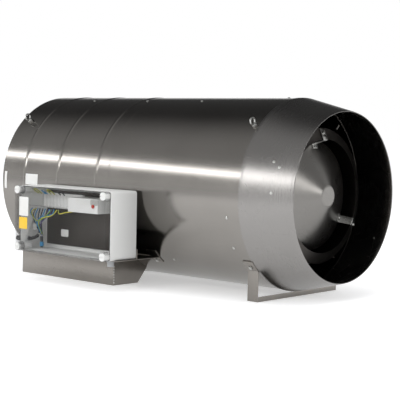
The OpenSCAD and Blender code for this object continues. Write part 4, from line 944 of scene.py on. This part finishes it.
# %% Motor cable
cable_run = [at(211, -325, 114), at(168, -325, 114), at(157.3, -319.7, 111.7), at(152, -309, 107),
             at(152, -234, 97), at(152, -225.2, 89), at(152, -222, 81), at(152, -222, 62)]
cable = bmesh.new()
add_tube(cable, smooth_path(cable_run, 6), 0.0049, 18)
face_out(cable)
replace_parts(publish("black_cable", cable, cable_black), "motor_cable")
print("motor cable made")

# %% [markdown]
# ## Blank plates and small marks
# Thin plates with rounded corners are stuck to the casing, the lid, the controller and the back
# plate. They are plain white, yellow or grey.


# %% Blank plates
PLATE_CORNER = 2.0


def plate(name, x, y, z, width, height, thick, material, body="root"):
    # x, y and z are the lower left corner of the face that the plate is stuck to
    shape = bmesh.new()
    far_x = width - PLATE_CORNER
    far_z = height - PLATE_CORNER
    outline = []
    for cx, cz, start in ((far_x, far_z, 0), (PLATE_CORNER, far_z, 90),
                          (PLATE_CORNER, PLATE_CORNER, 180), (far_x, PLATE_CORNER, 270)):
        for k in range(5):
            a = math.radians(start + 90 * k / 4)
            outline.append((cx + PLATE_CORNER * math.cos(a), cz + PLATE_CORNER * math.sin(a)))
    low = [shape.verts.new(at(x, y, z) + RIGHT * u / 1000 + UP * v / 1000) for u, v in outline]
    high = [shape.verts.new(v.co + NEAR * thick / 1000) for v in low]
    shape.faces.new(low)
    shape.faces.new(high)
    for i in range(len(low)):
        j = (i + 1) % len(low)
        shape.faces.new((low[i], low[j], high[j], high[i]))
    face_out(shape)
    break_edges(shape, 0.00008)
    return publish(name, shape, material, body)


white_plate = plate("lid_plate_white", 229, -375, 182, 38, 52, 0.4, label_white, "lid")
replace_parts(white_plate, "lid_labels")
plate("lid_plate_yellow", 229, -375, 146, 34, 32, 0.4, label_yellow, "lid")
plate("controller_patch", 474, -337.5, 223, 29, 15, 0.5, patch_grey)
plate("controller_sticker", 418, -337.5, 223, 52, 13, 0.3, label_white)
plate("back_plate_sticker", 282, -268.1, 122, 30, 20, 0.3, label_white)
plate("wire_tag", 226, -322, 140, 15, 17, 0.6, patch_grey)
dressed("casing_labels", label_white, 0.06)
print("blank plates made")

# %% [markdown]
# ## Rear guard
# The guard is a set of round wire rings on six spokes. A short tree grows the rings: one circle on
# each point of a line, scaled by its number, then swept with a round wire.

# %% Guard rings
guard_tree, asked, grown = make_group(
    "guard_rings",
    [("Host", "NodeSocketGeometry", None), ("Rings", "NodeSocketInt", None),
     ("First Radius", "NodeSocketFloat", None), ("Pitch", "NodeSocketFloat", None),
     ("Wire", "NodeSocketFloat", None), ("Finish", "NodeSocketMaterial", None)],
    [("Guard", "NodeSocketGeometry")], "GeometryNodeTree",
)
stations = add_node(guard_tree, "GeometryNodeMeshLine", Count=asked.outputs["Rings"],
                    Offset=(0, 0, 0))
number = add_node(guard_tree, "GeometryNodeInputIndex").outputs[0]
radius_at = calculate(guard_tree, "MULTIPLY_ADD", number, asked.outputs["Pitch"],
                      asked.outputs["First Radius"])
unit_circle = add_node(guard_tree, "GeometryNodeCurvePrimitiveCircle", Resolution=120, Radius=1.0)
rings_placed = add_node(guard_tree, "GeometryNodeInstanceOnPoints", Points=stations.outputs["Mesh"],
                        Instance=unit_circle.outputs["Curve"], Scale=radius_at)
rings_real = add_node(guard_tree, "GeometryNodeRealizeInstances",
                      Geometry=rings_placed.outputs["Instances"])
wire_round = add_node(guard_tree, "GeometryNodeCurvePrimitiveCircle", Resolution=10,
                      Radius=asked.outputs["Wire"])
swept = add_node(guard_tree, "GeometryNodeCurveToMesh", Curve=rings_real.outputs["Geometry"],
                 Profile_Curve=wire_round.outputs["Curve"])
turned_up = add_node(guard_tree, "GeometryNodeTransform", Geometry=swept.outputs["Mesh"],
                     Rotation=(0, math.pi / 2, 0), Translation=(rear_x + 0.0075, axis_y, axis_z))
ring_paint = add_node(guard_tree, "GeometryNodeSetMaterial", Geometry=turned_up.outputs["Geometry"],
                      Material=asked.outputs["Finish"])
join(guard_tree, ring_paint.outputs["Geometry"], grown.inputs["Guard"])
ring_host = bpy.data.objects.new("guard_host", bpy.data.meshes.new("guard_host"))
scene.collection.objects.link(ring_host)
guard_rings = grow("guard_rings", ring_host, guard_tree,
                   {"Rings": 11, "First Radius": 0.0431, "Pitch": 0.01454, "Wire": 0.0015,
                    "Finish": powder_black}, "root")
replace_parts(guard_rings, "rear_guard")

# %% [markdown]
# The spokes are flat bars from the middle disc to the inlet plate, where a screw holds each end.
# The disc is dished a little, as a pressed disc is.

# %% Guard spokes and disc
spokes = bmesh.new()
middle = Vector((rear_x, axis_y, axis_z))
for i in range(6):
    turn = Matrix.Rotation(math.radians(60 * i), 4, "X")
    corners = [Vector((x, y, z)) for x in (0.0091, 0.0118) for y in (-0.003, 0.003)
               for z in (0.02, 0.2252)]
    made = [spokes.verts.new(middle + turn @ Vector((c.x, c.y, -c.z))) for c in corners]
    for quad in ((0, 1, 3, 2), (4, 6, 7, 5), (0, 4, 5, 1), (2, 3, 7, 6), (0, 2, 6, 4), (1, 5, 7, 3)):
        spokes.faces.new([made[k] for k in quad])
face_out(spokes)
break_edges(spokes, 0.0006)
disc_outline = [(0, 0.0066), (0.024, 0.0062), (0.0298, 0.0074), (0.0298, 0.0089), (0.024, 0.0078),
                (0, 0.0082)]
add_turned(spokes, disc_outline, ALONG_AXIS, 64)
bmesh.ops.remove_doubles(spokes, verts=spokes.verts, dist=1e-6)
face_out(spokes)
publish("guard_spokes", spokes, powder_black)
print("guard made")

# %% [markdown]
# ## Fan
# The fan is six swept blades on a round hub. One blade is lofted from its root to its tip, with a
# cambered section and less pitch towards the tip, and the setting-out tree turns it round the hub.

# %% Fan blade
ROOT_R = 0.0475
TIP_R = 0.1775
OUT_STEPS = 8
ACROSS_STEPS = 14
blade = bmesh.new()
blade_rows = []
for i in range(OUT_STEPS + 1):
    s = i / OUT_STEPS
    reach = ROOT_R + (TIP_R - ROOT_R) * s
    pitch = math.radians(38 - 8 * s)
    chord = (0.074 - 0.01 * s) * (1 - 0.1 * (2 * s - 1) ** 4)
    row = []
    for k in range(ACROSS_STEPS + 1):
        w = k / ACROSS_STEPS - 0.5
        camber = 0.004 * (1 - 4 * w * w)
        thick = 0.0011 * math.sqrt(max(0.0, 1 - 3.6 * w * w))
        across = w * chord
        for face_side in (1, -1):
            lean = camber + thick * face_side
            row.append(Vector((across * math.sin(pitch) + lean * math.cos(pitch),
                               across * math.cos(pitch) - lean * math.sin(pitch),
                               math.sqrt(max(reach * reach - (across * math.cos(pitch)) ** 2, 1e-6)))))
    blade_rows.append([blade.verts.new(p) for p in row])
for i in range(OUT_STEPS):
    a = blade_rows[i]
    b = blade_rows[i + 1]
    for k in range(ACROSS_STEPS):
        blade.faces.new((a[2 * k], a[2 * k + 2], b[2 * k + 2], b[2 * k]))
        blade.faces.new((a[2 * k + 1], b[2 * k + 1], b[2 * k + 3], a[2 * k + 3]))
    blade.faces.new((a[0], b[0], b[1], a[1]))
    blade.faces.new((a[-2], a[-1], b[-1], b[-2]))
for row in (blade_rows[0], blade_rows[-1]):
    for k in range(ACROSS_STEPS):
        blade.faces.new((row[2 * k], row[2 * k + 1], row[2 * k + 3], row[2 * k + 2]))
face_out(blade)
blade_pattern = publish("blade", blade, powder_black, body=None)
BLADES = 6
fan_host = turned_points("fan_points", [at(75, 0, AXIS_H)] * BLADES,
                         [(math.radians(360 / BLADES * i), 0, 0) for i in range(BLADES)])
fan_blades = grow("fan_blades", fan_host, set_out,
                  {"Piece": blade_pattern, "Size": 1.0, "Finish": powder_black}, "rotor")
bpy.data.objects.remove(blade_pattern)
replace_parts(fan_blades, "fan")
hub_outline = [(45, 7.6), (45, 30), (46.5, 42), (50, 46.5), (56, 48), (104.4, 48), (105, 47.4), (105, 44),
               (60, 44), (52, 38), (52, 12), (105, 12), (105, 7.6)]
hub = bmesh.new()
add_turned(hub, [(r / 1000, x / 1000) for x, r in hub_outline], ALONG_AXIS, 96)
close_up(hub)
publish("fan_hub", hub, powder_black, "rotor")
print("fan made")

# %% [markdown]
# ## Everything inside
# Motor, pump, burner and pipes sit behind the guard and the dish, and show only through gaps. Their
# CAD shapes are right, so they keep them, and get a finish of their own.

# %% Inner pieces
inner_finishes = {
    "joint_band": zinc, "inlet_ring": zinc, "motor_shaft": zinc, "motor_rotor": cast_grey,
    "motor_stator": winding_copper, "motor_housing": enamel, "motor_caps": enamel, "motor_bearings": zinc,
    "motor_bracket": zinc, "pump_adapter": cast_grey, "pump_coupling": black_plastic, "oil_pump": cast_grey,
    "solenoid_valve": black_plastic, "oil_pipes": copper, "oil_inlet": brass, "burner_tube": inside_steel,
    "burner_spider": inside_steel, "swirl_plate": inside_steel, "oil_lance": brass, "oil_nozzle": brass,
    "spark_electrodes": ceramic, "flame_sensor": black_plastic, "ignition_leads": silicone_red,
    "ignition_transformer": black_plastic, "drum_spacers": zinc, "overheat_sensor": black_plastic,
}
for node, material in inner_finishes.items():
    dressed(node, material, 0.25, 40)
print("inner pieces:", len(inner_finishes))

# %% [markdown]
# ## Floor
# The heater stands on a plain pale studio floor that fades into a white background. The floor keeps
# the heater's soft shadow. What the camera and the metal see is lifted to white by the Light
# Path node, and not by more light on the heater.

# %% Floor
floor_mesh = bpy.data.meshes.new("floor")
floor_mesh.from_pydata([(-30, -30, 0), (30, -30, 0), (30, 30, 0), (-30, 30, 0)], [], [(0, 1, 2, 3)])
floor = bpy.data.objects.new("floor", floor_mesh)
scene.collection.objects.link(floor)
floor_paint = bpy.data.materials.new("floor_paint")
floor_paint.use_nodes = True
floor_tree = floor_paint.node_tree
floor_shader = floor_tree.nodes["Principled BSDF"]
floor_place = add_node(floor_tree, "ShaderNodeTexCoord").outputs["Object"]
floor_colour = mix_colours(floor_tree, noise(floor_tree, floor_place, Scale=60.0, Detail=4.0),
                           linear("#f0f0f0"), linear("#f6f6f6"))


def seen_rays(tree):
    path = add_node(tree, "ShaderNodeLightPath").outputs
    seen = calculate(tree, "MAXIMUM", path["Is Camera Ray"], path["Is Glossy Ray"])
    return calculate(tree, "MAXIMUM", seen, path["Is Transmission Ray"])


glow = calculate(floor_tree, "MULTIPLY", seen_rays(floor_tree), 0.4)
for socket, value in (("Base Color", floor_colour), ("Roughness", 1.0), ("Specular IOR Level", 0.0),
                      ("Emission Color", (1, 1, 1, 1)), ("Emission Strength", glow)):
    put(floor_tree, value, floor_shader.inputs[socket])
floor_mesh.materials.append(floor_paint)
print("floor laid")

# %% [markdown]
# ## World and lamps
# The studio is white at eye level and dark overhead, which gives the casing its dark top. A long
# strip draws the bright line along the casing, and three more soft lamps draw the highlights of the
# collar, the dish and the outlet's inner wall. The last three only light the box, the floor and the
# ends, and the metal doesn't mirror them.

# %% World
world = bpy.data.worlds.new("studio")
scene.world = world
world.use_nodes = True
sky = world.node_tree
sky.nodes.clear()
sky_way = add_node(sky, "ShaderNodeTexCoord").outputs["Generated"]
sky_parts = add_node(sky, "ShaderNodeSeparateXYZ", Vector=sky_way)
sky_side = mapped(sky, sky_parts.outputs["Y"], From_Min=-0.45, From_Max=0.25, To_Min=0.5, To_Max=0.06,
                  interpolation_type="SMOOTHSTEP")
sky_up = mapped(sky, sky_parts.outputs["Z"], From_Min=0.1, From_Max=0.3,
                interpolation_type="SMOOTHSTEP")
sky_blend = add_node(sky, "ShaderNodeMix", data_type="FLOAT")
for slot, value in ((0, sky_up), (2, 1.0), (3, sky_side)):
    put(sky, value, sky_blend.inputs[slot])
grey = sky_blend.outputs[0]
sky_grey = add_node(sky, "ShaderNodeCombineColor", Red=grey, Green=grey, Blue=grey).outputs[0]
sky_light = add_node(sky, "ShaderNodeBackground", Strength=0.72, Color=(0.97, 0.98, 1.0, 1))
sky_seen = add_node(sky, "ShaderNodeBackground", Strength=1.0, Color=sky_grey)
sky_mix = add_node(sky, "ShaderNodeMixShader")
for slot, value in enumerate((seen_rays(sky), sky_light.outputs[0], sky_seen.outputs[0])):
    join(sky, value, sky_mix.inputs[slot])
add_node(sky, "ShaderNodeOutputWorld", Surface=sky_mix.outputs[0])
print("world ready")

# %% Lamps
def lamp(name, place, target, width, height, power, seen=True, roll=0):
    light = bpy.data.lights.new(name, "AREA")
    light.shape = "RECTANGLE"
    light.size = width
    light.size_y = height
    light.energy = power
    stand = bpy.data.objects.new(name, light)
    way = Vector(place) - Vector(target)
    aim = way.to_track_quat("Z", "Y").to_matrix().to_4x4()
    stand.matrix_world = Matrix.Translation(place) @ aim @ Matrix.Rotation(math.radians(roll), 4, "Z")
    stand.visible_camera = False
    stand.visible_glossy = seen
    scene.collection.objects.link(stand)


lamp("strip", (-2.3, -2.17, 1.37), (-2.3, 0.06, 0.265), 3.0, 0.24, 20, roll=-15)
lamp("collar_glow", (0.02, -2.17, 1.05), (0.02, 0.06, 0.265), 0.9, 0.44, 8)
lamp("dish_glow", (2.75, 0.3, 0.88), (0.45, 0, 0.3), 0.5, 0.4, 5)
lamp("mouth_light", (2.2, 1.9, 0.9), (0.5, 0, 0.25), 2.2, 1.8, 9)
lamp("front_fill", (1.0, -3.1, 0.9), (-0.1, -0.2, 0.15), 1.4, 1.1, 12, seen=False)
lamp("overhead", (0.3, -0.4, 3.2), (0.1, 0.0, 0.2), 3.0, 2.4, 26, seen=False)
lamp("right_fill", (3.2, -0.9, 1.1), (0.2, -0.2, 0.25), 1.6, 1.4, 9, seen=False)
